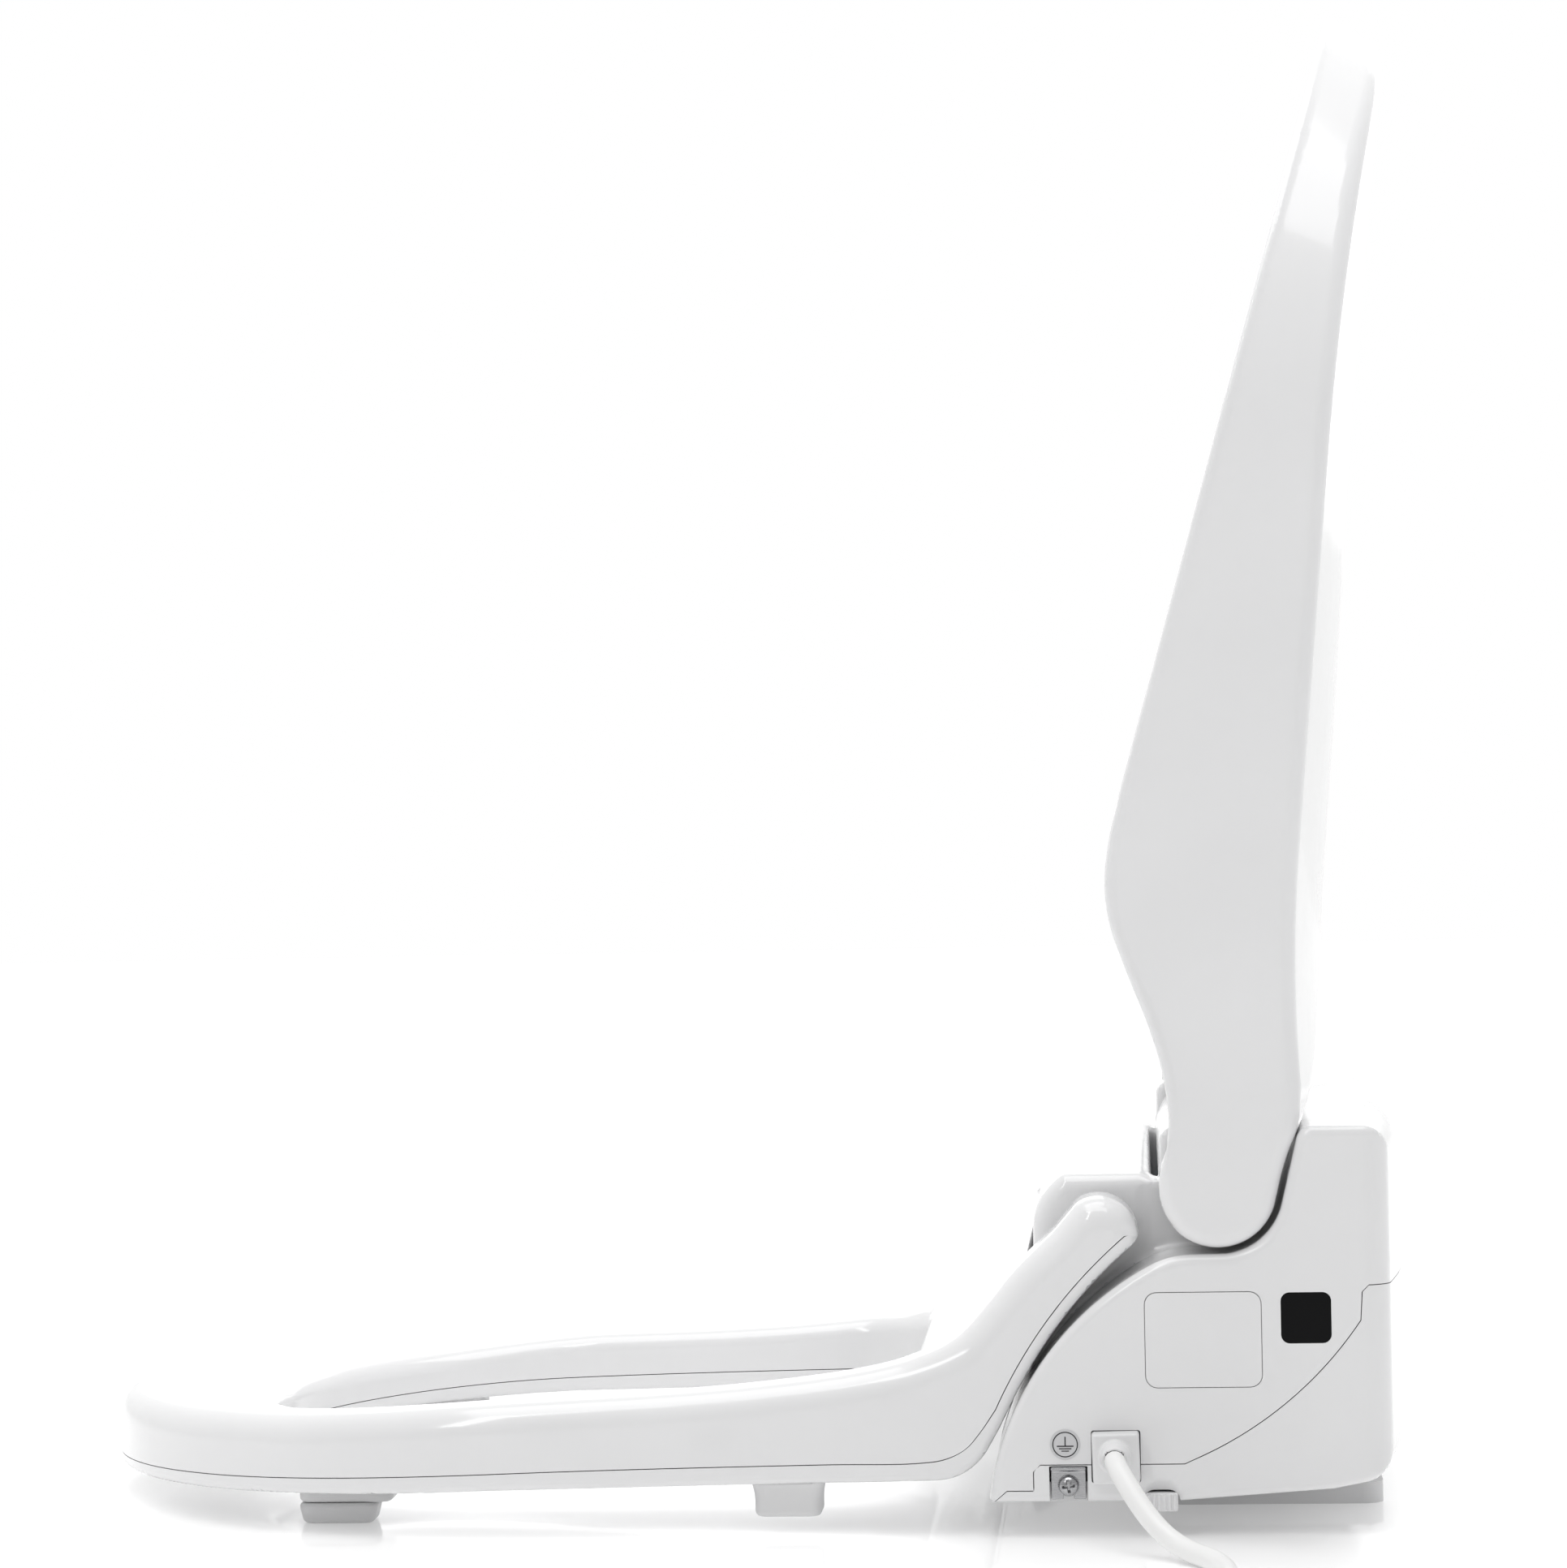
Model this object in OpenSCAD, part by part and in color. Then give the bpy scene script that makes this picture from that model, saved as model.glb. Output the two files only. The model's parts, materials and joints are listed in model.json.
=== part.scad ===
// Electric bidet seat: a housing on a mounting plate, a heated seat and a lid on two hinge axes.
// X runs across the seat, -Y is the front, +Z is up. The origin is midway between the two
// mounting holes, on the face that rests on the bowl. The lid is modelled open, the seat down.

/* [Housing] */
// Width of the housing
body_w = 372; // [300:1:460]
// Reach of the housing behind the mounting holes, at the middle
body_rear = 56; // [50:0.5:70]
// Height of the rear block
block_h = 151.5; // [149:0.5:190]
// Height of the front pod between the seat arms
pod_h = 131.5; // [128:0.5:133]
// Thickness of the housing shells
wall = 2.5; // [1.8:0.1:3.2]
// Height of the housing's bottom edge above the bowl
edge_h = 13; // [12.5:0.5:16]

/* [Hinges] */
// Seat hinge, behind the mounting holes (negative is in front)
seat_hinge_y = -65.5; // [-68:0.5:-64]
// Height of the seat hinge
seat_hinge_z = 110.3; // [109:0.1:112]
// Lid hinge, behind the mounting holes
lid_hinge_y = -21; // [-22:0.5:-20]
// Height of the lid hinge
lid_hinge_z = 128.5; // [127:0.1:131]
// Radius of the seat hinge pins
seat_pin_r = 7; // [5:0.1:8.4]
// Radius of the lid hinge pins
lid_pin_r = 6; // [4:0.1:7.2]
// Angle of the lid behind its closed place when it stands open
lid_open = 105.9; // [90:0.1:106]

/* [Seat] */
// Reach of the seat in front of the mounting holes
seat_front = 470; // [390:1:564]
// Width of the ring from its outer edge to the opening
ring_w = 74; // [60:1:89]
// Height of the seat's front edge above its lower lip
front_h = 31; // [26:0.5:36]
// Thickness of the seat shells
seat_wall = 3; // [2:0.1:3.6]
// Width of the seat arms beside the pod
arm_w = 34; // [24:0.5:41]

/* [Lid] */
// Thickness of the lid
lid_wall = 3; // [2:0.1:3.6]
// Reach of the lid past the front of the seat
lid_over = 8; // [6:0.5:12]
// Height of the lid's crown over its side edges
crown = 14; // [10:0.5:16]

/* [Mounting] */
// Distance between the two mounting holes
bolt_spacing = 140; // [117:1:168]
// Radius of each mounting hole
bolt_hole_r = 4.5; // [3.5:0.1:5.5]
// Thickness of the mounting plate's base
plate_t = 8; // [5:0.5:9]

/* [Water] */
// Radius of the water inlet's threaded stub
inlet_r = 10.4; // [8.7:0.1:12.5]
// Length of the stub outside the housing
inlet_len = 14; // [11.5:0.5:17]
// Radius of the spray wand
wand_r = 6; // [5:0.1:7]
// Travel of the spray wand
wand_travel = 66; // [55:1:80]

/* [Cord] */
// Diameter of the mains cord
cord_d = 7.8; // [6.5:0.1:7.9]

/* [Fits] */
// Gap around a turning or sliding shaft
run_gap = 0.05; // [0.02:0.01:0.09]
// Gap beside a moving arm
side_gap = 2; // [1:0.1:3]
// Reach of a sprung button
press = 3; // [2:0.1:3.5]

/* [Hidden] */
$fn = 64;
tall = 1000;
half_w = body_w / 2;
seat_half = half_w - 4;
arm_in = seat_half - arm_w;
pod_half = arm_in - side_gap;
tower_w = 20;
tower_in = pod_half - tower_w;
lid_half = half_w + 1;
ear_in = pod_half + 3;
arm_end_r = 15;
lid_end_r = 22;
saddle_r = lid_end_r + 2.3;
shoulder_h = lid_hinge_z - saddle_r;
pod_rear = lid_hinge_y - saddle_r;
pod_nose_r = 25;
hinge_sweep = pod_nose_r + 2.6;
// The housing's front edge is an arc that leaves room for the seat.
nose_c = [7.4, -2.7];
nose_r = 116.3;
rear_round = (half_w * half_w + 15 * 15) / 30;
// The seat arm's rear edge is a wider arc.
arm_c = [63.7, -31.4];
arm_r = 184.4;
ring_c = -(seat_front - seat_half);
hole_half = seat_half - ring_w;
hole_rear = -140;
hole_round = 35;
lid_c = -(seat_front + lid_over - lid_half);
lid_tip = -(seat_front + lid_over);
rim_z = 56;
dish_r = 972;
seat_tilt = 3.6;
side_x = half_w;
part_gap = 0.3;

// ---- shared helpers -------------------------------------------------------------------------

// Points on an arc around c, from angle a0 to a1.
function arc(c, r, a0, a1, n = 12) =
  [for (i = [0:n]) c + r * [cos(a0 + (a1 - a0) * i / n), sin(a0 + (a1 - a0) * i / n)]];

// A side outline (Y, Z) made solid from x0 to x1.
module across(x0, x1) {
  translate([x0, 0, 0]) rotate([90, 0, 90]) linear_extrude(x1 - x0) children();
}
module rod_x(x0, x1, y, z, r, n = 64) {
  translate([x0, y, z]) rotate([0, 90, 0]) cylinder(h = x1 - x0, r = r, $fn = n);
}
module block(lo, hi) {
  translate(lo) cube(hi - lo);
}
module both() {
  children();
  mirror([1, 0, 0]) children();
}
module round_rect(lo, hi, r) {
  translate(lo + [r, 0]) square([hi[0] - lo[0] - 2 * r, hi[1] - lo[1]]);
  translate(lo + [0, r]) square([hi[0] - lo[0], hi[1] - lo[1] - 2 * r]);
  for (x = [lo[0] + r, hi[0] - r], y = [lo[1] + r, hi[1] - r]) translate([x, y]) circle(r, $fn = 32);
}

// ---- housing --------------------------------------------------------------------------------

// Side outline of the shoulders and the rear block, drawn in by e all round.
function body_side(e) = concat(
  arc(nose_c, nose_r - e, 180 - asin((edge_h + e - nose_c[1]) / (nose_r - e)), 113, 16),
  [[lid_hinge_y - 8, shoulder_h - e]],
  arc([lid_hinge_y, lid_hinge_z], saddle_r + e, -90, -8, 10),
  [[8.6 + e, block_h - 3.5], [12 + e, block_h - e], [body_rear - 5, block_h - e]],
  [[body_rear - e, block_h - 5], [body_rear - e, 36], [body_rear - 12 - e, 22 + e]],
  [[28, edge_h + 6 + e], [-38, edge_h + e]]);

// Side outline of the pod that stands between the seat arms.
function pod_side(e) = concat(
  [[seat_hinge_y - pod_nose_r + e, 45]],
  arc([seat_hinge_y, seat_hinge_z], pod_nose_r - e, 180, 180 - asin((pod_h - seat_hinge_z) / pod_nose_r), 8),
  [[pod_rear - 3 - e, pod_h - e], [pod_rear - e, pod_h - 3 - e], [pod_rear - e, 45]]);

// Plan outline: straight sides and a bowed back.
module body_plan(e) {
  linear_extrude(tall, center = true) intersection() {
    translate([0, body_rear - rear_round]) circle(rear_round - e, $fn = 180);
    translate([-half_w + e, -tall / 2]) square([body_w - 2 * e, tall]);
  }
}
module body_solid(e) {
  intersection() {
    union() {
      across(-half_w, half_w) polygon(body_side(e));
      across(-pod_half + e, pod_half - e) polygon(pod_side(e));
    }
    body_plan(e);
  }
}
// Everything under the seam between the tray and the cover.
module under_seam() {
  across(-half_w - 5, half_w + 5) polygon(concat(
    [[-110, -5], [-106, edge_h], [-101, edge_h + 4.4], [-91, edge_h + 4.4], [-91, edge_h + 11.5],
     [-88.5, edge_h + 14], [-35, edge_h + 14]],
    arc([-87.2, 160.3], 143, -66, -34.4, 8),
    [[31.5, 90], [34, 92.5], [body_rear + 10, 92.5], [body_rear + 10, -5]]));
}
module lid_tower() {
  translate([tower_in, 0, 0]) across(0, tower_w) polygon([
    [lid_hinge_y - 26, shoulder_h - 1], [lid_hinge_y - 26, pod_h - 3], [lid_hinge_y - 21, pod_h - 3],
    [lid_hinge_y - 21, lid_hinge_z + 15],
    [lid_hinge_y - 15, lid_hinge_z + 21], [12, lid_hinge_z + 21], [12, shoulder_h - 1]]);
}
panel_lo = [-48.7, 55.4];
panel_hi = [-5.9, 90.4];
window_lo = [1.6, 71.4];
window_hi = [19.8, 89.9];
inlet_pos = [-30, 34];
wand_axis = 28;
wand_start = [0, -96, 16];
screw_at = [[140, 30], [60, -58], [22, 38]];
post_top = edge_h + 24;
skin_t = 1.2;

module upper_cover() color("white") {
  difference() {
    union() {
      difference() {
        body_solid(0);
        body_solid(wall);
        under_seam();
      }
      both() lid_tower();
      // posts that the cover screws bite into
      intersection() {
        body_solid(0);
        for (p = screw_at, s = [-1, 1]) translate([s * p[0], p[1], post_top]) cylinder(h = tall, r = 4.5);
      }
    }
    for (p = screw_at, s = [-1, 1]) translate([s * p[0], p[1], post_top - 1]) cylinder(h = 14, r = 2);
    // outlet of the warm-air duct
    block([duct_x + 1.5, -112, 28], [duct_x + 18.5, -90, 42]);
    both() {
      rod_x(pod_half - wall - 1, pod_half + 1, seat_hinge_y, seat_hinge_z, 10);
      rod_x(tower_in - 1, pod_half + 1, lid_hinge_y, lid_hinge_z, 9);
    }
    across(side_x - skin_t, side_x + 1) round_rect(panel_lo - [.2, .2], panel_hi + [.2, .2], 4.5);
    across(side_x - wall - 1, side_x + 1) round_rect(window_lo - [.2, .2], window_hi + [.2, .2], 3);
    side_ports();
    inlet_block_room(0.2);
  }
}
// Holes in the housing for the spray wand and the water inlet.
module side_ports() {
  wand_line() translate([0, 0, -30]) cylinder(h = 60, r = wand_r + 4.2);
  rod_x(-half_w - 5, -half_w + 7, inlet_pos[0], inlet_pos[1], inlet_r + 1);
}

module base_tray() color("white") {
  difference() {
    union() {
      intersection() {
        difference() {
          body_solid(0);
          body_solid(wall);
        }
        under_seam();
      }
      // posts that take the cover screws
      for (p = screw_at, s = [-1, 1]) translate([s * p[0], p[1], edge_h + 7])
        cylinder(h = post_top - edge_h - 7, r = 5);
      // pocket of the release button
      block([side_x - 18, -52, edge_h + 0.5], [side_x - 1, -35.4, edge_h + 6]);
    }
    for (p = screw_at, s = [-1, 1]) translate([s * p[0], p[1], 0]) {
      cylinder(h = post_top + 1, r = 2.2);
      cylinder(h = edge_h + 9.5, r = 4);
    }
    side_ports();
    inlet_block_room(0.2);
    // room for the release button
    block([side_x - 13 - press, -50.5, 5], [side_x + 5, -36.9, 17.2]);
    block([side_x - wall - 1, -85.2, edge_h - 1], [side_x + 1, -71, edge_h + 13.5]);
  }
}

module side_panel() color("white") {
  across(side_x - skin_t, side_x + 0.1) round_rect(panel_lo, panel_hi, 4.4);
}
module ir_window() color("black") {
  across(side_x - wall, side_x) round_rect(window_lo, window_hi, 3);
}
module ir_receiver() color("dimgray") {
  block([side_x - wall - 12, 5, 74], [side_x - wall - 10.5, 17, 88]);
  translate([side_x - wall - 10.5, 11, 81]) rotate([0, 90, 0]) cylinder(h = 7, r = 2.5);
}
module earth_badge() color("gainsboro") {
  rod_x(side_x, side_x + 0.2, -79.1, 34.6, 5.7);
}
screw_at_side = [-78.1, edge_h + 6.3];
module earth_plate() color("silver") {
  difference() {
    union() {
      block([side_x - 2, -84.6, edge_h + 1], [side_x - 0.8, -71.6, edge_h + 12]);
      block([side_x - 2, -84.6, edge_h + 12], [side_x + 1.2, -71.6, edge_h + 13.2]);
    }
    rod_x(side_x - 3, side_x, screw_at_side[0], screw_at_side[1], 1.9);
  }
}
module earth_screw() color("silver") {
  difference() {
    union() {
      rod_x(side_x - 0.8, side_x + 1.2, screw_at_side[0], screw_at_side[1], 3.7);
      rod_x(side_x - 9, side_x - 0.5, screw_at_side[0], screw_at_side[1], 1.9);
    }
    translate([side_x + 0.2, screw_at_side[0], screw_at_side[1]]) {
      block([0, -2.4, -0.4], [2, 2.4, 0.4]);
      block([0, -0.4, -2.4], [2, 0.4, 2.4]);
    }
  }
}

// ---- mounting -------------------------------------------------------------------------------

plate_half = bolt_spacing / 2 + 38;
plate_y = 42;
slot_half = 14;

module mounting_plate() color("whitesmoke") {
  difference() {
    union() {
      linear_extrude(plate_t) round_rect([-plate_half, -plate_y], [plate_half, plate_y], 8);
      // guide rails that the housing slides on to
      for (s = [-1, 1]) translate([s * (plate_half - 12), 0, 0])
        block([-6, -plate_y + 4, plate_t], [6, plate_y - 14, edge_h]);
    }
    for (s = [-1, 1]) translate([s * bolt_spacing / 2, 0, -1]) linear_extrude(plate_t + 2)
      round_rect([-slot_half, -11], [slot_half, 11], 4);
  }
}
module mount_bushes() color("lightgray") {
  for (s = [-1, 1]) translate([s * bolt_spacing / 2, 0, 0]) difference() {
    linear_extrude(plate_t - 0.5)
      round_rect([-slot_half + part_gap, -10.7], [slot_half - part_gap, 10.7], 3.8);
    translate([0, 0, -1]) cylinder(h = plate_t + 2, r = bolt_hole_r);
  }
}
module cover_screws() color("silver") {
  for (p = screw_at, s = [-1, 1]) translate([s * p[0], p[1], edge_h + 9.5]) {
    translate([0, 0, -2.4]) cylinder(h = 2.4, r = 3.6);
    cylinder(h = post_top - edge_h - 1, r = 2);
  }
}
button_lo = [-49.7, 9.7];
button_hi = [-37.7, 16.4];
module release_button() color("white") {
  difference() {
    union() {
      block([side_x - 10, button_lo[0], button_lo[1]], [side_x + 2, button_hi[0], button_hi[1]]);
      for (i = [0:7]) rod_z(side_x + 2, button_lo[0] + 0.9 + i * 1.46, button_lo[1], button_hi[1], 0.55);
    }
    rod_x(side_x - 11, side_x - 4, (button_lo[0] + button_hi[0]) / 2, 13, 2.4);
  }
}
module rod_z(x, y, z0, z1, r) {
  translate([x, y, z0]) cylinder(h = z1 - z0, r = r, $fn = 16);
}
// A coil spring drawn as rings; it lies in the button's blind hole with the button's travel to spare.
module release_spring() color("silver") {
  x = side_x - 13 - press;
  for (i = [0:3]) translate([x + 1.6 + i * 1.7, (button_lo[0] + button_hi[0]) / 2, 13])
    rotate([0, 90, 0]) rotate_extrude($fn = 32) translate([1.8, 0]) circle(0.3, $fn = 16);
  rod_x(x, x + 7.5, (button_lo[0] + button_hi[0]) / 2, 13, 1.55, 24);
}

// ---- mains cord -----------------------------------------------------------------------------

cord_r = cord_d / 2;
cord_exit = [204, -60.8, 30.8];
// Free route of the cord from its boot to the coil.
route = [[204, -60.8, 30.8], [210, -60.2, 30], [216, -58.2, 27.2], [222, -54.8, 22.2], [228, -50.2, 15.8],
  [234.5, -44.6, 9.8], [241.5, -38.4, 5.8], [249.5, -32.6, 4.1], [259, -27.6, 4], [270, -24, 4],
  [283, -22, 4],
  [298, -21, 4], [314, -20.5, 4], [332, -20.5, 4], [354, -20.5, 4]];
// Route of the far end: it leaves the inner turn, crosses the coil and drops to the plug.
tail_route = [[383.8, -76, 11.9], [383.8, -92, 11.9], [383.8, -110, 11.9], [383.8, -126, 11.9],
  [383.8, -135, 11.2], [383.8, -142, 9.4], [383.8, -149, 7.6], [383.8, -158, 6.9], [383.8, -168, 6.9]];
coil_c = [354, -76];
coil_out = 55.5;
coil_in = 29.8;
plug_c = [383.8, -168, 6.9];

function unit(v) = v / norm(v);
function heading(p, i) = unit(p[min(i + 1, len(p) - 1)] - p[max(i - 1, 0)]);
function side_of(d) = unit(cross(d, abs(d[2]) > 0.9 ? [1, 0, 0] : [0, 0, 1]));
// A tube around the points of p, n-sided.
module tube(p, r, n = 10) {
  rings = [for (i = [0:len(p) - 1])
    let (d = heading(p, i), u = side_of(d), w = cross(d, u))
    for (k = [0:n - 1]) p[i] + r * (u * cos(360 * k / n) + w * sin(360 * k / n))];
  m = len(p) - 1;
  polyhedron(rings, concat(
    [[for (k = [0:n - 1]) n - 1 - k]], [[for (k = [0:n - 1]) m * n + k]],
    [for (i = [0:m - 1], k = [0:n - 1])
      [i * n + k, i * n + (k + 1) % n, (i + 1) * n + (k + 1) % n, (i + 1) * n + k]]));
}

module inlet_block_room(g) {
  block([side_x - 6 - g, -69.3 - g, 20.4 - g], [side_x + 5, -51.4 + g, 39.5 + g]);
}
module cord_inlet() color("white") {
  difference() {
    block([side_x - 6, -69.3, 20.4], [side_x + 7.5, -51.4, 39.5]);
    rod_x(side_x - 7, side_x + 8, cord_exit[1], cord_exit[2], cord_r);
  }
  // tapered boot
  translate([side_x - 6, cord_exit[1], cord_exit[2]]) rotate([0, 90, 0]) difference() {
    union() {
      translate([0, 0, 13.5]) cylinder(h = 1.8, r = 6.35);
      translate([0, 0, 15.3]) cylinder(h = 8.7, r1 = 5.6, r2 = 4.6);
      translate([0, 0, -8]) cylinder(h = 8, r = 5.6);
    }
    translate([0, 0, -9]) cylinder(h = 40, r = cord_r);
  }
}
module power_cord() color("white") {
  tube(concat([[side_x - 14, cord_exit[1], cord_exit[2]]], route), cord_r);
}
module cord_coil() color("white") {
  translate([coil_c[0], coil_c[1], 4 - cord_r]) rotate_extrude($fn = 96)
    translate([coil_in - cord_r, 0]) square([coil_out - coil_in + cord_d, cord_d]);
}
module cord_tail() color("white") {
  tube(tail_route, cord_r);
}
module plug_body() color("white") {
  translate(plug_c) rotate([90, 0, 0]) {
    cylinder(h = 22, r1 = cord_r + 0.6, r2 = 5.6);
    translate([0, 0, 22]) linear_extrude(30) round_rect([-12.5, -6.8], [12.5, 9.2], 3.5);
  }
}
module plug_blades() color("silver") {
  for (s = [-1, 1]) translate([plug_c[0] + s * 6.35, plug_c[1] - 52, plug_c[2] + 1.2])
    block([-0.75, -17.5, -3.15], [0.75, 0, 3.15]);
}

// ---- water ----------------------------------------------------------------------------------

module water_inlet() color("gainsboro") {
  difference() {
    union() {
      rod_x(-half_w - inlet_len, -half_w + 1, inlet_pos[0], inlet_pos[1], inlet_r);
      rod_x(-half_w, -half_w + 8, inlet_pos[0], inlet_pos[1], inlet_r + 0.8);
      rod_x(-half_w + 8, -half_w + 14, inlet_pos[0], inlet_pos[1], inlet_r + 5);
    }
    rod_x(-half_w - inlet_len - 1, -half_w + 15, inlet_pos[0], inlet_pos[1], 6.5);
  }
}
valve_x = -half_w + 14;
plunger_r = 4;
module inlet_valve() color("dimgray") {
  difference() {
    union() {
      rod_x(valve_x, valve_x + 28, inlet_pos[0], inlet_pos[1], 13);
      translate([valve_x + 14, inlet_pos[0], inlet_pos[1] + 10]) cylinder(h = 26, r = 9);
    }
    rod_x(valve_x - 1, valve_x + 29, inlet_pos[0], inlet_pos[1], 6.5);
    translate([valve_x + 14, inlet_pos[0], inlet_pos[1] + 12])
      cylinder(h = 18 + press, r = plunger_r + run_gap);
  }
}
module valve_plunger() color("silver") {
  translate([valve_x + 14, inlet_pos[0], inlet_pos[1] + 13]) cylinder(h = 16, r = plunger_r);
}
tank_lo = [-128, -30, 30];
tank_hi = [-40, 44, 84];
tank_wall = 2.5;
module heater_tank() color("ivory") {
  difference() {
    block(tank_lo, tank_hi);
    block(tank_lo + [1, 1, 1] * tank_wall, [tank_hi[0] - tank_wall, tank_hi[1] - tank_wall, tank_hi[2] + 1]);
  }
}
module tank_cover() color("ivory") {
  block([tank_lo[0], tank_lo[1], tank_hi[2]], tank_hi + [0, 0, 3]);
  for (y = [tank_lo[1] + 12, tank_lo[1] + 30]) translate([tank_hi[0] - 12, y, tank_hi[2] + 3]) difference() {
    cylinder(h = 9, r = 4);
    translate([0, 0, 1]) cylinder(h = 9, r = 2.5);
  }
}
module heating_element() color("silver") {
  for (y = [tank_lo[1] + 16, tank_hi[1] - 16])
    rod_x(tank_lo[0] + tank_wall, tank_hi[0] - 14, y, (tank_lo[2] + tank_hi[2]) / 2, 4);
  translate([tank_hi[0] - 14, 0, (tank_lo[2] + tank_hi[2]) / 2])
    block([0, tank_lo[1] + 12, -4], [4, tank_hi[1] - 12, 4]);
}
module tank_sensor() color("black") {
  translate([tank_lo[0] + 16, tank_hi[1] - 14, tank_hi[2] - 20]) cylinder(h = 19, r = 2.5);
}
module feed_hose() color("lightblue") {
  x = valve_x + 33;
  y = tank_lo[1] - 12;
  z = tank_hi[2] + 20;
  tube([[valve_x + 28, inlet_pos[0], inlet_pos[1]], [x - 3, inlet_pos[0], inlet_pos[1]],
    [x, inlet_pos[0] - 4, 36],
    [x, y, 44], [x, y, 90], [x + 8, y, z], [tank_hi[0] - 24, y, z], [tank_hi[0] - 14, y + 6, z],
    [tank_hi[0] - 12, y + 18, z], [tank_hi[0] - 12, y + 23, z - 3], [tank_hi[0] - 12, y + 24, z - 7],
    [tank_hi[0] - 12, y + 24, z - 16]], 2.3, 8);
}
module spray_hose() color("lightblue") {
  x = tank_hi[0] - 12;
  y = tank_lo[1] + 30;
  z = tank_hi[2] + 14;
  tube([[x, y, tank_hi[2] + 4], [x, y, z], [x + 5, y, z + 5], [x + 16, y + 2, z + 4], [-12, y + 10, z - 4],
    [0, 14, z - 14], [0, 12, z - 22]], 2.3, 8);
}

// ---- spray wand -----------------------------------------------------------------------------

gear_m = 1.5;
gear_z = 12;
gear_r = gear_m * gear_z / 2;
wand_len = wand_travel + 30;
pinion_s = -22;
pinion_y = wand_r + 1.7 + gear_r;

// Local frame of the wand: +Z runs forward and down along it, +Y is the upper side.
module wand_line() {
  translate(wand_start) rotate([90 + wand_axis, 0, 0]) children();
}
rack_pitch = PI * gear_m;
rack_teeth = floor((wand_len - 20) / rack_pitch);
// The gap that the pinion's lowest tooth stands in sets where the teeth start.
rack_start = (wand_len + pinion_s) % rack_pitch - 1.1 + rack_pitch / 2;
rack_y = wand_r + 0.2;
// One tooth of the rack in side view, from base to tip and back.
function tooth(z) = [[0, z], [1.4, z + 0.5], [2.5, z + 0.85], [2.5, z + 1.35], [1.4, z + 1.7], [0, z + 2.2]];
module nozzle_wand() color("white") {
  wand_line() translate([0, 0, -wand_len]) {
    difference() {
      cylinder(h = wand_len - 12, r = wand_r);
      translate([0, 0, -1]) cylinder(h = wand_len - 20, r = 2);
    }
    rotate([0, -90, 0]) translate([0, 0, -2.5]) linear_extrude(5) polygon(concat(
      [[0, wand_r - 2.5]], [[0, rack_y]],
      [for (i = [0:rack_teeth - 1], p = tooth(rack_start + i * rack_pitch)) [p[1], rack_y + p[0]]],
      [[wand_len - 14, rack_y], [wand_len - 14, wand_r - 2.5]]));
  }
}
module nozzle_tip() color("gainsboro") {
  wand_line() difference() {
    translate([0, 0, -12]) {
      cylinder(h = 8, r = wand_r);
      translate([0, 0, 8]) sphere(wand_r);
    }
    for (z = [-9, -5]) translate([0, 3, z]) rotate([-90, 0, 0]) cylinder(h = 5, r = 0.8, $fn = 16);
  }
}
module nozzle_housing() color("gainsboro") {
  wand_line() difference() {
    union() {
      translate([0, 0, -wand_len - 4]) cylinder(h = wand_len + 6, r = wand_r + 3);
      translate([-8, 0, -wand_len - 4]) cube([3, 26, wand_len - 14]);
    }
    translate([0, 0, -wand_len - 5]) cylinder(h = wand_len + 12, r = wand_r + run_gap);
    // slot for the rack and the pinion
    translate([-4.8, 0, -wand_len - 5]) cube([30, 40, wand_len + 12 - 16]);
    translate([-4.8, 0, -wand_len - 5]) cube([9.6, 9.6, wand_len + 12]);
    translate([-9, pinion_y, pinion_s]) rotate([0, 90, 0]) cylinder(h = 6, r = 2.5 + run_gap);
  }
}
module drive_pinion() color("ivory") {
  wand_line() translate([0, pinion_y, pinion_s]) rotate([0, 90, 0]) {
    translate([0, 0, -2]) linear_extrude(4) {
      circle(gear_r - gear_m * 1.1, $fn = 48);
      for (i = [0:gear_z - 1]) rotate(i * 360 / gear_z)
        polygon([[gear_r - 3, -1.1], [gear_r - 1, -1], [gear_r + 0.9, -0.4],
          [gear_r + 0.9, 0.4], [gear_r - 1, 1], [gear_r - 3, 1.1]]);
    }
    translate([0, 0, -9.5]) cylinder(h = 12, r = 2.5);
  }
}
module nozzle_motor() color("dimgray") {
  wand_line() translate([-29, pinion_y, pinion_s]) rotate([0, 90, 0]) difference() {
    cylinder(h = 20.5, r = 12);
    translate([0, 0, 19]) cylinder(h = 3, r = 2.5 + run_gap);
  }
}

// ---- warm-air dryer -------------------------------------------------------------------------

fan_c = [96, 2, 62];
fan_r = 26;
module fan_housing() color("dimgray") {
  translate(fan_c) rotate([0, 90, 0]) difference() {
    union() {
      cylinder(h = 26, r = fan_r + 4);
      translate([-4, -fan_r - 14, 3]) cube([24, 20, 20]);
    }
    translate([0, 0, 2]) cylinder(h = 22, r = fan_r + 1.5);
    translate([0, 0, 10]) cylinder(h = 20, r = 14);
    translate([-2, -fan_r - 15, 5]) cube([20, 22, 16]);
    translate([0, 0, -1]) cylinder(h = 4, r = 1.5 + run_gap);
  }
}
module fan_rotor() color("black") {
  translate(fan_c) rotate([0, 90, 0]) {
    translate([0, 0, 5]) cylinder(h = 2, r = fan_r - 1);
    translate([0, 0, -4]) cylinder(h = 13, r = 1.5);
    for (i = [0:23]) rotate(i * 15) translate([fan_r - 7, -0.5, 6.9]) cube([6, 1, 13]);
  }
}
module fan_motor() color("silver") {
  translate(fan_c - [14, 0, 0]) rotate([0, 90, 0]) difference() {
    cylinder(h = 14, r = 13);
    translate([0, 0, 9]) cylinder(h = 6, r = 1.5 + run_gap);
  }
}
duct_x = fan_c[0] + 3;
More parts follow.
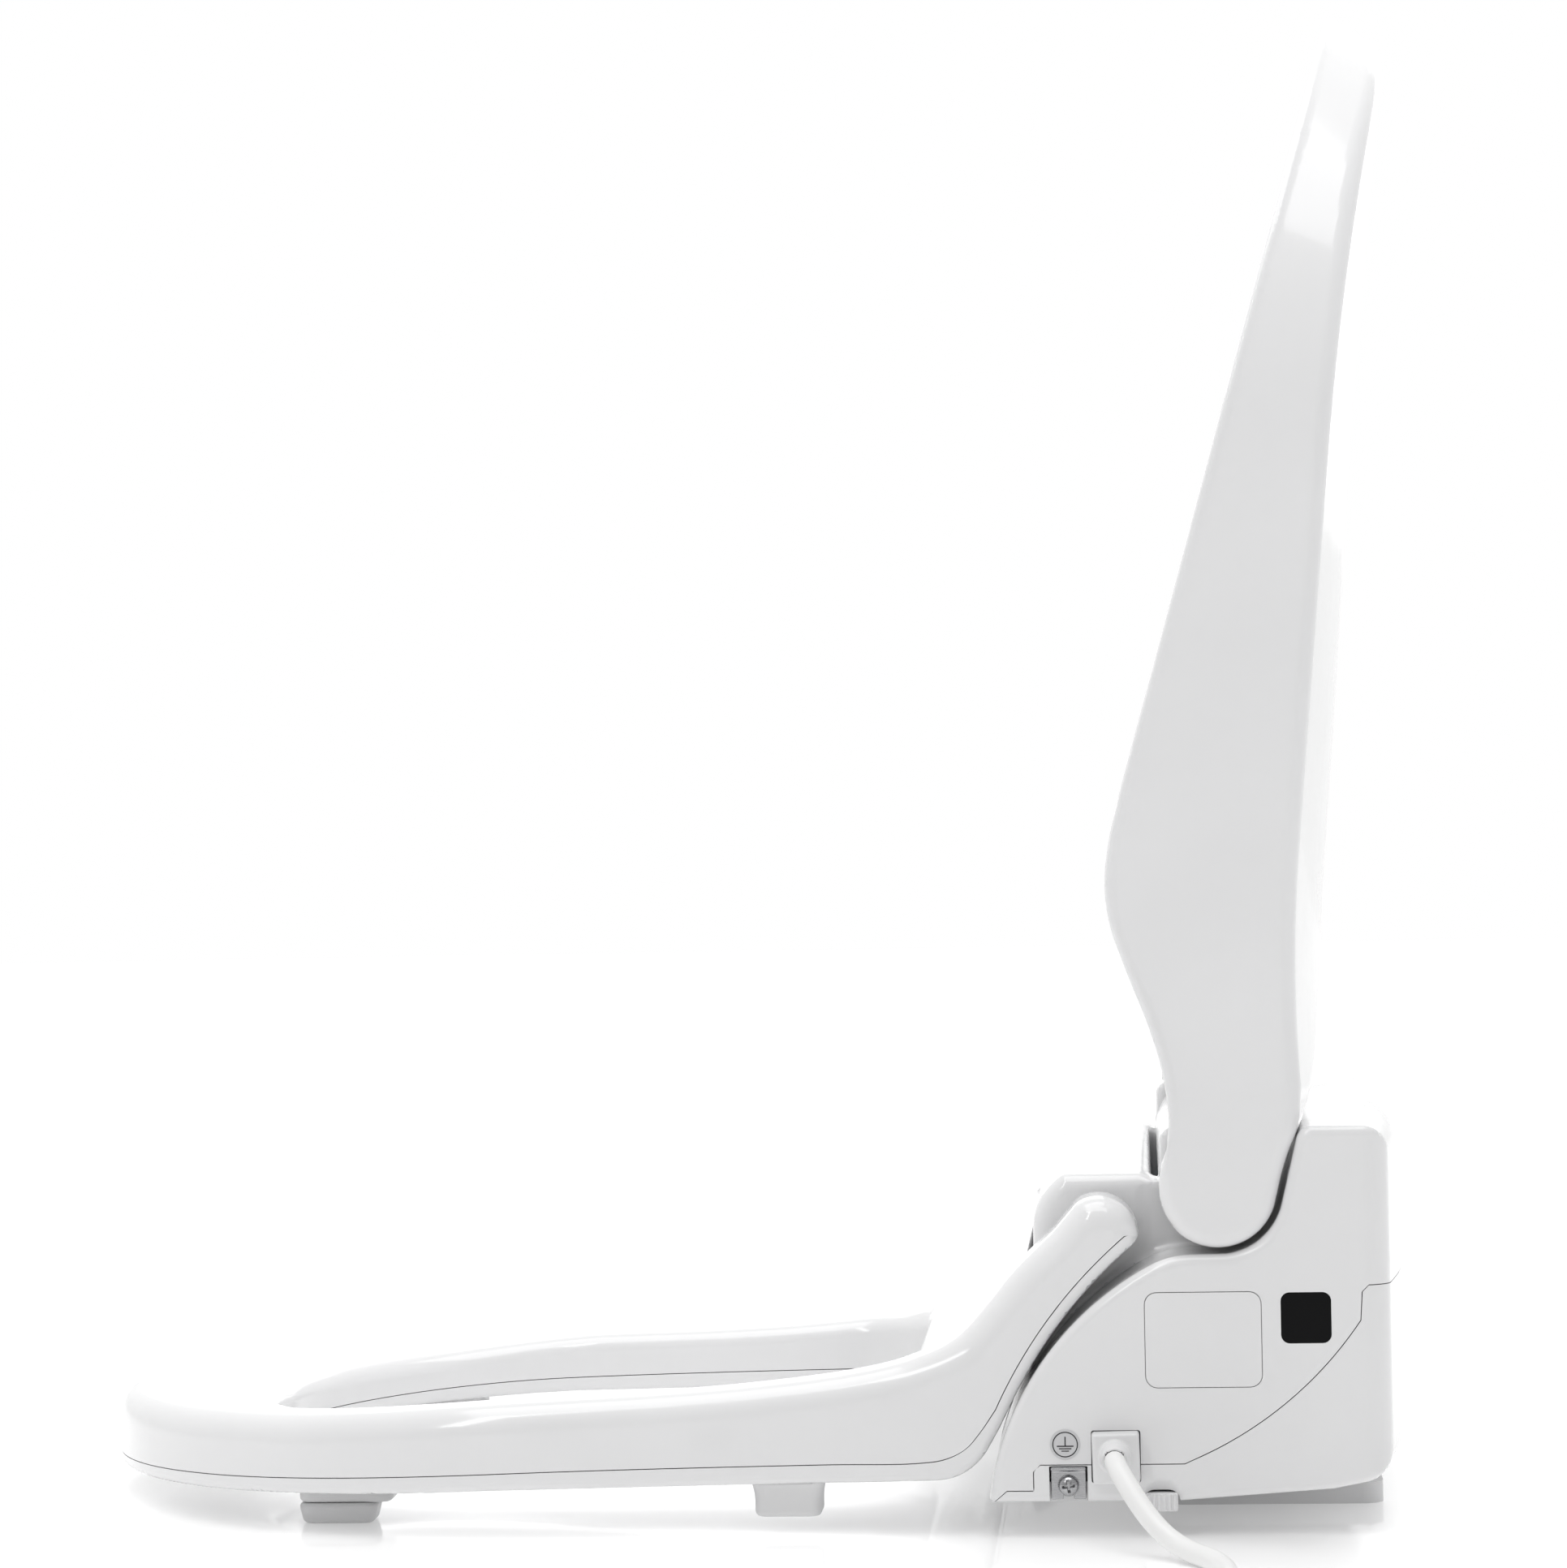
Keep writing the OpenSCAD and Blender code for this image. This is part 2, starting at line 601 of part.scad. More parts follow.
module dryer_duct() color("gainsboro") {
  difference() {
    across(duct_x, duct_x + 20)
      polygon([[-38, 66], [-38, 42], [-70, 26], [-92, 26], [-92, 44], [-74, 66]]);
    across(duct_x + 1.5, duct_x + 18.5)
      polygon([[-37, 64], [-37, 44], [-70, 28], [-93, 28], [-93, 42], [-75, 64]]);
  }
}
module dryer_heater() color("silver") {
  for (i = [0:5]) translate([duct_x + 2, -62 + i * 3.2, 45]) cube([16, 0.8, 16]);
  block([duct_x + 2, -62, 44.2], [duct_x + 18, -45.2, 45]);
}

// ---- electronics ----------------------------------------------------------------------------

module main_board() color("green") {
  block([-124, 28, 112], [-34, 29.6, 145]);
  for (i = [0:4]) block([-118 + i * 16, 29.6, 118], [-108 + i * 16, 33.6, 134]);
}
module power_board() color("green") {
  block([147, -50, 24], [180, 20, 25.6]);
  for (i = [0:3]) translate([152.5, -42 + i * 16, 25.6]) cylinder(h = 16, r = 4.5);
}
module transformer() color("dimgray") {
  block([161, -38, 25.6], [179, -4, 58]);
  block([158, -32, 30], [161, -10, 54]);
}

// ---- hinges ---------------------------------------------------------------------------------

module seat_bushes() color("lightgray") {
  both() difference() {
    union() {
      rod_x(pod_half - 12, pod_half, seat_hinge_y, seat_hinge_z, 10);
      rod_x(pod_half - 12, pod_half - wall, seat_hinge_y, seat_hinge_z, 13);
    }
    rod_x(pod_half - 13, pod_half + 1, seat_hinge_y, seat_hinge_z, seat_pin_r + run_gap);
  }
}
module seat_dampers() color("dimgray") {
  both() difference() {
    rod_x(pod_half - 58, pod_half - 12.5, seat_hinge_y, seat_hinge_z, 14);
    rod_x(pod_half - 40, pod_half - 12, seat_hinge_y, seat_hinge_z, seat_pin_r + run_gap);
  }
}
module seat_pins() color("silver") {
  both() rod_x(pod_half - 38, seat_half - 8, seat_hinge_y, seat_hinge_z, seat_pin_r);
}
module lid_dampers() color("dimgray") {
  both() difference() {
    rod_x(tower_in, pod_half, lid_hinge_y, lid_hinge_z, 9);
    rod_x(tower_in - 1, pod_half + 1, lid_hinge_y, lid_hinge_z, lid_pin_r + run_gap);
  }
}
module lid_pins() color("silver") {
  both() rod_x(tower_in - 16, lid_half - 8, lid_hinge_y, lid_hinge_z, lid_pin_r);
}

// ---- seat -----------------------------------------------------------------------------------

seat_y0 = -seat_front;
lip_z = 10.5;
// Upper outline of the seat in side view, front to back.
function seat_top_line(e) = [
  [seat_y0 + e, lip_z + 6], [seat_y0 + e, lip_z + front_h - 10], [seat_y0 + 4 + e, lip_z + front_h - 3],
  [seat_y0 + 14, lip_z + front_h - e], [seat_y0 + 93, 44.5 - e], [ring_c - 12, 50 - e], [-230, 53.6 - e],
  [-195, 56.3 - e], [-160, 60.4 - e], [-138, 65 - e], [-119, 72.5 - e], [-112 + 0.7 * e, 79.5 - 0.7 * e]];
module seat_side(e) {
  h = [seat_hinge_y, seat_hinge_z];
  polygon(concat(
    seat_top_line(e), [[-97 + 0.7 * e, 99 - 0.7 * e], [-82 + 0.7 * e, 113 - 0.7 * e]],
    arc(h, arm_end_r - e, 118, -18, 12),
    arc(arm_c, arm_r + e, 131, 155, 10),
    [[-112 - e, 27], [-121, 21.2 + e], [-174, 20 + e], [-296, 18 + e], [seat_y0 + 8 + e, lip_z + e]]));
}
module ring_plan(e) {
  linear_extrude(tall, center = true) difference() {
    union() {
      translate([0, ring_c]) circle(seat_half - e, $fn = 144);
      translate([-seat_half + e, ring_c]) square([2 * (seat_half - e), 400]);
    }
    translate([0, ring_c - 10]) circle(hole_half + e, $fn = 96);
    translate([-hole_half - e, ring_c - 10])
      square([2 * (hole_half + e), hole_rear - hole_round - ring_c + 10]);
    for (s = [-1, 1]) translate([s * (hole_half - hole_round), hole_rear - hole_round])
      circle(hole_round + e);
    translate([-hole_half + hole_round, ring_c])
      square([2 * (hole_half - hole_round), hole_rear - ring_c + e]);
    // room for the pod between the arms
    translate([-arm_in - e, seat_hinge_y - hinge_sweep - e]) square([2 * (arm_in + e), 400]);
  }
}
module seat_dish(e) {
  translate([0, ring_c, 50.5 + dish_r - 14.2 - e]) rotate([seat_tilt, 0, 0]) {
    sphere(dish_r, $fn = 180);
    rotate([-90, 0, 0]) cylinder(h = 260, r = dish_r, $fn = 180);
  }
}
module seat_solid(e) {
  difference() {
    intersection() {
      across(-seat_half + e, seat_half - e) seat_side(e);
      ring_plan(e);
    }
    // the dish runs out up a slope in front of the arms
    intersection() {
      seat_dish(e);
      across(-seat_half + 16, seat_half - 16) polygon([[seat_y0 + 16, 0], [seat_y0 + 16, 200],
        [35 + 1.3 * e, 200], [-165 + 1.3 * e, 40], [-165 + 1.3 * e, 0]]);
    }
  }
}
// Everything under the seam between the seat's two shells.
module under_seat_seam() {
  across(-seat_half - 5, seat_half + 5) polygon(concat(
    [[seat_y0 - 10, 0], [seat_y0 - 10, lip_z + 5.5], [seat_y0 + 5, lip_z + 5.5], [-296, 24.9],
      [-128, 28.4], [-116, 30]],
    arc(arm_c, arm_r + 8, 155, 131, 10), [[seat_hinge_y + 6, seat_hinge_z + 1], [0, seat_hinge_z], [0, 0]]));
}
module seat_pin_bores() {
  both() rod_x(arm_in - 1, seat_half - 8, seat_hinge_y, seat_hinge_z, seat_pin_r);
}
module seat_top() color("white") {
  difference() {
    seat_solid(0);
    difference() {
      seat_solid(seat_wall);
      both() rod_x(arm_in - 1, seat_half, seat_hinge_y, seat_hinge_z, arm_end_r + 2);
    }
    under_seat_seam();
    seat_pin_bores();
  }
}
module seat_bottom() color("white") {
  difference() {
    intersection() {
      seat_solid(0);
      under_seat_seam();
    }
    difference() {
      seat_solid(seat_wall);
      both() rod_x(arm_in - 1, seat_half, seat_hinge_y, seat_hinge_z, arm_end_r + 2);
    }
    seat_pin_bores();
  }
}
module seat_heater() color("orange") {
  intersection() {
    difference() {
      seat_solid(seat_wall + 0.2);
      translate([0, 0, -1.2]) seat_solid(seat_wall + 0.2);
    }
    block([-seat_half + 22, seat_y0 + 24, 33], [seat_half - 22, -150, 80]);
  }
}
bumper_front_y = [-376, -338];
bumper_mid_y = [-198, -169];
module under_seat(x0, x1, y0, y1, z0, z1, r) {
  difference() {
    translate([0, 0, z0]) linear_extrude(z1 - z0) round_rect([x0, y0], [x1, y1], r);
    across(-seat_half, seat_half) seat_side(0);
  }
}
module front_bumpers() color("white") {
  both() under_seat(119, 141, bumper_front_y[0], bumper_front_y[1], 8, 24, 6);
}
module front_pads() color("whitesmoke") {
  both() translate([119.5, 0, 0]) {
    linear_extrude(8) round_rect([0, bumper_front_y[0] + 0.5], [21, bumper_front_y[1] - 7], 6);
  }
}
module mid_bumpers() color("white") {
  both() under_seat(152, 176, bumper_mid_y[0], bumper_mid_y[1], 6.5, 26, 6);
}

// ---- lid ------------------------------------------------------------------------------------

// Outline of the closed lid in side view; its crown line is drawn in by e.
function crown_line(e) = [
  [lid_tip + 6.5 + e, 78.6 - e], [-309, 106.8 - e], [-216, 128.4 - e], [-125, 147 - e], [-65, 155 - e]];
function lid_side() = concat(
  [[lid_tip, rim_z]], crown_line(0), [[-57, 153.5], [-49, 147.5]],
  arc([lid_hinge_y, lid_hinge_z], lid_end_r, 130, -90, 24),
  [[-38, 106.4], [-52, 102.5], [-61, 97.5], [-74, 88.5], [-90, 76.4], [-106, 65], [-119, 58.8],
   [-134, rim_z + 0.6],
   [-152, rim_z]]);
module lid_plan(e) {
  linear_extrude(tall, center = true) {
    translate([0, lid_c]) circle(lid_half - e, $fn = 144);
    translate([-lid_half + e, lid_c]) square([2 * (lid_half - e), 600]);
  }
}
module crown_round(e) {
  drop = crown + 3;
  r = (lid_half * lid_half + drop * drop) / (2 * drop);
  translate([0, -65, 158]) rotate([10.65, 0, 0]) translate([0, 0, -r]) rotate([90, 0, 0])
    translate([0, 0, -420]) cylinder(h = 1200, r = r - e, $fn = 180);
}
module lid_closed() {
  difference() {
    intersection() {
      across(-lid_half, lid_half) polygon(lid_side());
      lid_plan(0);
      crown_round(0);
    }
    // hollow inside
    difference() {
      intersection() {
        across(-lid_half + lid_wall, lid_half - lid_wall)
          polygon(concat([[lid_tip + lid_wall, 0]], crown_line(lid_wall),
            [[-50, 143.8], [-34, 139], [20, 100], [20, 0]]));
        lid_plan(lid_wall);
        crown_round(lid_wall);
      }
      rod_x(-lid_half, lid_half, lid_hinge_y, lid_hinge_z, lid_end_r);
    }
    // room for the hinge towers
    both() rod_x(tower_in - 2, ear_in, lid_hinge_y, lid_hinge_z, lid_end_r + 16);
    // hollow roll in the middle, and the pin bores
    rod_x(-tower_in + 20, tower_in - 20, lid_hinge_y, lid_hinge_z, 17);
    both() rod_x(tower_in - 21, lid_half - 8, lid_hinge_y, lid_hinge_z, lid_pin_r);
  }
}
module opened() {
  translate([0, lid_hinge_y, lid_hinge_z]) rotate([-lid_open, 0, 0])
    translate([0, -lid_hinge_y, -lid_hinge_z]) children();
}
module lid_shell() color("white") {
  opened() lid_closed();
}

mounting_plate();
mount_bushes();
base_tray();
upper_cover();
side_panel();
ir_window();
ir_receiver();
earth_badge();
earth_plate();
earth_screw();
cord_inlet();
power_cord();
cord_coil();
cord_tail();
plug_body();
plug_blades();
water_inlet();
inlet_valve();
valve_plunger();
heater_tank();
tank_cover();
heating_element();
tank_sensor();
feed_hose();
spray_hose();
nozzle_housing();
nozzle_motor();
drive_pinion();
nozzle_wand();
nozzle_tip();
fan_housing();
fan_motor();
fan_rotor();
dryer_duct();
dryer_heater();
main_board();
power_board();
transformer();
cover_screws();
seat_bushes();
seat_dampers();
lid_dampers();
release_button();
release_spring();
seat_top();
seat_bottom();
seat_heater();
front_bumpers();
front_pads();
mid_bumpers();
seat_pins();
lid_shell();
lid_pins();
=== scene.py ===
import json
import math

import bpy
import bmesh
import numpy as np
from bpy.props import FloatProperty, FloatVectorProperty, PointerProperty
from mathutils import Matrix, Vector


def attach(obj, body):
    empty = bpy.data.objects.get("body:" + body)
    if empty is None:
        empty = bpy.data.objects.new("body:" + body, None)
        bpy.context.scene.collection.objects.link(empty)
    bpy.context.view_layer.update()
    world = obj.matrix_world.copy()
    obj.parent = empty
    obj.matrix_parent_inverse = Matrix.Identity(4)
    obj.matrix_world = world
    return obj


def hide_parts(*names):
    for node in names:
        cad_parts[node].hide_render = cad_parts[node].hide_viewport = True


bl_info = {
    "name": "Electric bidet seat",
    "version": (1, 0, 0),
    "blender": (4, 5, 0),
    "location": "View3D > Sidebar > Bidet seat",
    "description": "Builds the shells, fittings, cord and stage of an electric bidet seat",
    "category": "Object",
}

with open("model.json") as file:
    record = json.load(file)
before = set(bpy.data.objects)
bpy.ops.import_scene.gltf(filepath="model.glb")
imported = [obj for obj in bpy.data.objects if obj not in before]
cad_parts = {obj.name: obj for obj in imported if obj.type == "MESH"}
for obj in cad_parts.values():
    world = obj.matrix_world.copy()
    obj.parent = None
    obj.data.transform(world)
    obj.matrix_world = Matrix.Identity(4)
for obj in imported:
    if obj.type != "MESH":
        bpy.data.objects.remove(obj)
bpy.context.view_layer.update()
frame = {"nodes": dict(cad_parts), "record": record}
MM = 0.001

# Where the two hinge axes stand, as (Y, Z) in millimetres.
SEAT_HINGE = (-65.5, 110.3)
LID_HINGE = (-21.0, 128.5)
# Centre of the arc at the rear of the seat's arms.
ARM_CENTRE = (63.7, -31.4)
# Centre of the earth screw.
EARTH_SCREW = (-78.1, 19.3)
HALF_HOUSING = 186.0
HALF_POD = 146.0
HALF_SEAT = 182.0
HALF_LID = 187.0
ARM_INNER = 148.0
TOWER = (126.0, 146.0)
LID_OPEN = math.radians(105.9)

# Free route of the mains cord from its boot to the coil, in metres.
ROUTE = [
    (0.204, -0.0608, 0.0308), (0.210, -0.0602, 0.0300), (0.216, -0.0582, 0.0272), (0.222, -0.0548, 0.0222),
    (0.228, -0.0502, 0.0158), (0.2345, -0.0446, 0.0098), (0.2415, -0.0384, 0.0058), (0.2495, -0.0326, 0.0041),
    (0.259, -0.0276, 0.0040), (0.270, -0.0240, 0.0040), (0.283, -0.0220, 0.0040), (0.298, -0.0210, 0.0040),
    (0.314, -0.0205, 0.0040), (0.332, -0.0205, 0.0040),
]
# Far end: off the inner turn, over the coil and down to the plug, in metres.
TAIL = [
    (0.3838, -0.088, 0.0119), (0.3838, -0.100, 0.0119), (0.3838, -0.112, 0.0119), (0.3838, -0.124, 0.0119),
    (0.3838, -0.134, 0.0113), (0.3838, -0.142, 0.0094), (0.3838, -0.150, 0.0076), (0.3838, -0.159, 0.0069),
    (0.3838, -0.170, 0.0069),
]
COIL_CENTRE = (0.354, -0.076)


class BidetShellSizes(bpy.types.PropertyGroup):
    """Roundings and gaps of the moulded shells."""

    housing_edge: FloatProperty(
        name="Housing edge", description="Rounding along the housing's side edges, in millimetres",
        default=3.6, min=0.5, max=8)
    pod_edge: FloatProperty(
        name="Pod edge", description="Rounding at the ends of the pod between the arms, in millimetres",
        default=6.5, min=0.5, max=12)
    seat_shoulder: FloatProperty(
        name="Seat shoulder", description="Rounding of the seat's outer shoulder, in millimetres",
        default=11.0, min=2, max=14)
    seat_inner: FloatProperty(
        name="Seat inner edge", description="Rounding round the seat's opening, in millimetres",
        default=7.0, min=2, max=12)
    lid_edge: FloatProperty(
        name="Lid edge", description="Rounding between the lid's crown and its sides, in millimetres",
        default=5.5, min=1, max=9)
    seam: FloatProperty(
        name="Seam", description="Gap between two shells that meet, in millimetres",
        default=0.35, min=0.1, max=0.8)


class BidetColours(bpy.types.PropertyGroup):
    """Colours of the moulded pieces."""

    gloss_white: FloatVectorProperty(
        name="Gloss white", description="Colour of the shells", subtype="COLOR", size=3, min=0, max=1,
        default=(0.775, 0.775, 0.78))
    cord_white: FloatVectorProperty(
        name="Cord white", description="Colour of the cord and plug", subtype="COLOR", size=3, min=0, max=1,
        default=(0.82, 0.82, 0.815))
    floor_white: FloatVectorProperty(
        name="Floor", description="Colour of the stage", subtype="COLOR", size=3, min=0, max=1,
        default=(0.93, 0.93, 0.93))


class BidetCordSizes(bpy.types.PropertyGroup):
    """Sizes of the mains cord, in metres."""

    diameter: FloatProperty(
        name="Cord diameter", description="Outside of the sheath", default=0.0078, unit="LENGTH", min=0.005,
        max=0.010, precision=4)
    outer_turn: FloatProperty(
        name="Outer turn", description="Radius of the coil's outer turn", default=0.0555, unit="LENGTH",
        min=0.05, max=0.08, precision=4)
    inner_turn: FloatProperty(
        name="Inner turn", description="Radius of the coil's inner turn", default=0.0298, unit="LENGTH",
        min=0.02, max=0.04, precision=4)


# ---- curves and distances --------------------------------------------------------------------


def arc(centre, radius, start, end, count=24):
    """Points (Y, Z) on an arc, with the angles in degrees."""
    return [
        (centre[0] + radius * math.cos(math.radians(start + (end - start) * i / count)),
         centre[1] + radius * math.sin(math.radians(start + (end - start) * i / count)))
        for i in range(count + 1)
    ]


def flowing(points, parts=8):
    """A smooth line through the points."""
    p = [Vector(q) for q in points]
    p = [2 * p[0] - p[1]] + p + [2 * p[-1] - p[-2]]
    line = []
    for i in range(1, len(p) - 2):
        t = [0.0]
        for j in range(3):
            t.append(t[-1] + math.sqrt((p[i + j] - p[i + j - 1]).length))
        for k in range(parts):
            u = t[1] + (t[2] - t[1]) * k / parts
            a = [(p[i - 1 + j] * (t[j + 1] - u) + p[i + j] * (u - t[j])) / (t[j + 1] - t[j])
                 for j in range(3)]
            b = [(a[j] * (t[j + 2] - u) + a[j + 1] * (u - t[j])) / (t[j + 2] - t[j]) for j in range(2)]
            line.append(tuple((b[0] * (t[2] - u) + b[1] * (u - t[1])) / (t[2] - t[1])))
    line.append(tuple(points[-1]))
    return line


def filleted(points, radii, count=6):
    """A closed outline with each corner rounded to its own radius."""
    n = len(points)
    line = []
    for i in range(n):
        b = Vector(points[i])
        a, c = Vector(points[i - 1]) - b, Vector(points[(i + 1) % n]) - b
        reach = min(a.length, c.length) * 0.49
        half = a.angle(c) / 2
        r = min(radii[i], reach * math.tan(half))
        if r < 0.05 or half > 1.56:
            line.append(tuple(b))
            continue
        cut = r / math.tan(half)
        p, q = b + a.normalized() * cut, b + c.normalized() * cut
        centre = b + (a.normalized() + c.normalized()).normalized() * (r / math.sin(half))
        u, v = p - centre, q - centre
        turn = u.angle_signed(v)
        for k in range(count + 1):
            w = u.copy()
            w.rotate(Matrix.Rotation(-turn * k / count, 2))
            line.append(tuple(centre + w))
    return line


def outline_distance(outline, u, v):
    """Signed distance to a closed outline; negative inside."""
    u, v = np.broadcast_arrays(np.asarray(u, float), np.asarray(v, float))
    best = np.full(u.shape, 1e18)
    inside = np.zeros(u.shape, bool)
    n = len(outline)
    for i in range(n):
        ax, ay = outline[i]
        bx, by = outline[(i + 1) % n]
        ex, ey = bx - ax, by - ay
        size = ex * ex + ey * ey
        if size < 1e-12:
            continue
        wx, wy = u - ax, v - ay
        t = np.clip((wx * ex + wy * ey) / size, 0, 1)
        best = np.minimum(best, (wx - t * ex) ** 2 + (wy - t * ey) ** 2)
        if ay != by:
            crosses = ((ay > v) != (by > v)) & (u < ex * (v - ay) / ey + ax)
            inside ^= crosses
    best = np.sqrt(best)
    return np.where(inside, -best, best)


def line_distance(line, u, v):
    """Distance to an open line."""
    u, v = np.broadcast_arrays(np.asarray(u, float), np.asarray(v, float))
    best = np.full(u.shape, 1e18)
    for (ax, ay), (bx, by) in zip(line, line[1:]):
        ex, ey = bx - ax, by - ay
        t = np.clip(((u - ax) * ex + (v - ay) * ey) / max(ex * ex + ey * ey, 1e-12), 0, 1)
        best = np.minimum(best, (u - ax - t * ex) ** 2 + (v - ay - t * ey) ** 2)
    return np.sqrt(best)


def both(a, b, r):
    """Inside both shapes, with their common edge rounded to r."""
    return np.hypot(np.maximum(a + r, 0), np.maximum(b + r, 0)) + np.minimum(np.maximum(a, b), -r)


def either(a, b, r):
    """Inside one shape or the other, with a hollow fillet r between them."""
    return -both(-a, -b, r)


# ---- meshing ---------------------------------------------------------------------------------


def slope(field, p, h=0.02):
    """Value and unit gradient of a field at points."""
    k = np.array([[1, -1, -1], [-1, -1, 1], [-1, 1, -1], [1, 1, 1]], float)
    g = np.zeros_like(p)
    value = np.zeros(len(p))
    for d in k:
        q = p + d * h
        f = field(q[:, 0], q[:, 1], q[:, 2])
        g += d * f[:, None]
        value += f / 4
    g /= 4 * h
    size = np.linalg.norm(g, axis=1)
    return value, g / np.maximum(size, 1e-9)[:, None], size


def skin(field, xs, ys, zs, settle=3):
    """Quads on the zero surface of a field sampled on a grid, each corner moved on to the surface."""
    xs, ys, zs = (np.asarray(a, float) for a in (xs, ys, zs))
    f = field(xs[:, None, None], ys[None, :, None], zs[None, None, :])
    f = np.array(np.broadcast_to(f, (len(xs), len(ys), len(zs))), np.float32)
    f[f == 0] = 1e-6
    low = f < 0
    corner = {}
    count = np.zeros(tuple(s - 1 for s in f.shape), np.int8)
    for i in (0, 1):
        for j in (0, 1):
            for k in (0, 1):
                part = np.s_[i:f.shape[0] - 1 + i, j:f.shape[1] - 1 + j, k:f.shape[2] - 1 + k]
                corner[i, j, k] = part
                count += low[part]
    mixed = (count > 0) & (count < 8)
    number = np.full(mixed.shape, -1, np.int64)
    number[mixed] = np.arange(mixed.sum())
    ci, cj, ck = np.nonzero(mixed)
    value = {c: f[s][mixed].astype(float) for c, s in corner.items()}
    place = np.zeros((len(ci), 3))
    hits = np.zeros(len(ci))
    for c in value:
        for axis in range(3):
            if c[axis]:
                continue
            d = tuple(1 if a == axis else c[a] for a in range(3))
            a, b = value[c], value[d]
            cross = (a < 0) != (b < 0)
            t = np.where(cross, a / np.where(cross, a - b, 1), 0)
            where = np.array(c, float)[None, :].repeat(len(ci), 0)
            where[:, axis] = t
            place[cross] += where[cross]
            hits += cross
    place /= hits[:, None]
    lo = np.stack([xs[ci], ys[cj], zs[ck]], 1)
    hi = np.stack([xs[ci + 1], ys[cj + 1], zs[ck + 1]], 1)
    p = lo + place * (hi - lo)
    reach = (hi - lo).max(1)
    for _ in range(settle):
        v, g, size = slope(field, p)
        p -= g * np.clip(v / np.maximum(size, 0.3), -reach, reach)[:, None]
    quads = []
    for axis in range(3):
        a, b = (axis + 1) % 3, (axis + 2) % 3
        first = [slice(None)] * 3
        second = [slice(None)] * 3
        first[axis], second[axis] = slice(0, -1), slice(1, None)
        one, two = low[tuple(first)], low[tuple(second)]
        edge = one != two
        inner = [slice(None)] * 3
        inner[a], inner[b] = slice(1, -1), slice(1, -1)
        keep = np.zeros_like(edge)
        keep[tuple(inner)] = edge[tuple(inner)]
        at = np.stack(np.nonzero(keep), 1)
        ring = []
        for da, db in ((-1, -1), (0, -1), (0, 0), (-1, 0)):
            c = at.copy()
            c[:, a] += da
            c[:, b] += db
            ring.append(number[c[:, 0], c[:, 1], c[:, 2]])
        q = np.stack(ring, 1)
        out = one[at[:, 0], at[:, 1], at[:, 2]]
        q[~out] = q[~out][:, ::-1]
        quads.append(q)
    return p, np.concatenate(quads)


def mesh_of(name, points, faces):
    """A mesh object, with its points given in millimetres."""
    mesh = bpy.data.meshes.new(name)
    mesh.from_pydata((np.asarray(points) * MM).tolist(), [], [list(map(int, f)) for f in faces])
    mesh.update()
    piece = bpy.data.objects.new(name, mesh)
    bpy.context.scene.collection.objects.link(piece)
    return piece


def prism(name, outline, x0, x1):
    """An outline (Y, Z) made solid across the seat from x0 to x1."""
    n = len(outline)
    points = [(x0, y, z) for y, z in outline] + [(x1, y, z) for y, z in outline]
    faces = [list(range(n)), list(range(2 * n - 1, n - 1, -1))]
    faces += [[i, n + i, n + (i + 1) % n, (i + 1) % n] for i in range(n)]
    area = sum(a[0] * b[1] - b[0] * a[1] for a, b in zip(outline, outline[1:] + outline[:1]))
    if area > 0:
        faces = [f[::-1] for f in faces]
    return mesh_of(name, points, faces)


def rod(name, centre, direction, radius, length, sides=40):
    """A round bar that starts at centre and runs along direction."""
    d = Vector(direction).normalized()
    turn = d.to_track_quat("Z", "Y").to_matrix()
    points = []
    for h in (0, length):
        for i in range(sides):
            a = 2 * math.pi * i / sides
            points.append(Vector(centre) + turn @ Vector((radius * math.cos(a), radius * math.sin(a), h)))
    faces = [list(range(sides))[::-1], list(range(sides, 2 * sides))]
    faces += [[i, (i + 1) % sides, sides + (i + 1) % sides, sides + i] for i in range(sides)]
    return mesh_of(name, [tuple(p) for p in points], faces)


def joined(pieces):
    """One object out of several."""
    made = bmesh.new()
    for piece in pieces:
        made.from_mesh(piece.data)
    made.to_mesh(pieces[0].data)
    made.free()
    for piece in pieces[1:]:
        bpy.data.objects.remove(piece)
    return pieces[0]


def cut(piece, tool, mode="DIFFERENCE"):
    """Cuts one closed solid with another."""
    step = piece.modifiers.new("cut", "BOOLEAN")
    step.operation = mode
    step.solver = "EXACT"
    step.object = tool
    graph = bpy.context.evaluated_depsgraph_get()
    made = bpy.data.meshes.new_from_object(piece.evaluated_get(graph))
    piece.modifiers.clear()
    piece.data = made
    bpy.data.objects.remove(tool)
    if not made.polygons:
        raise RuntimeError(f"{piece.name}: nothing is left after a cut")
    return piece


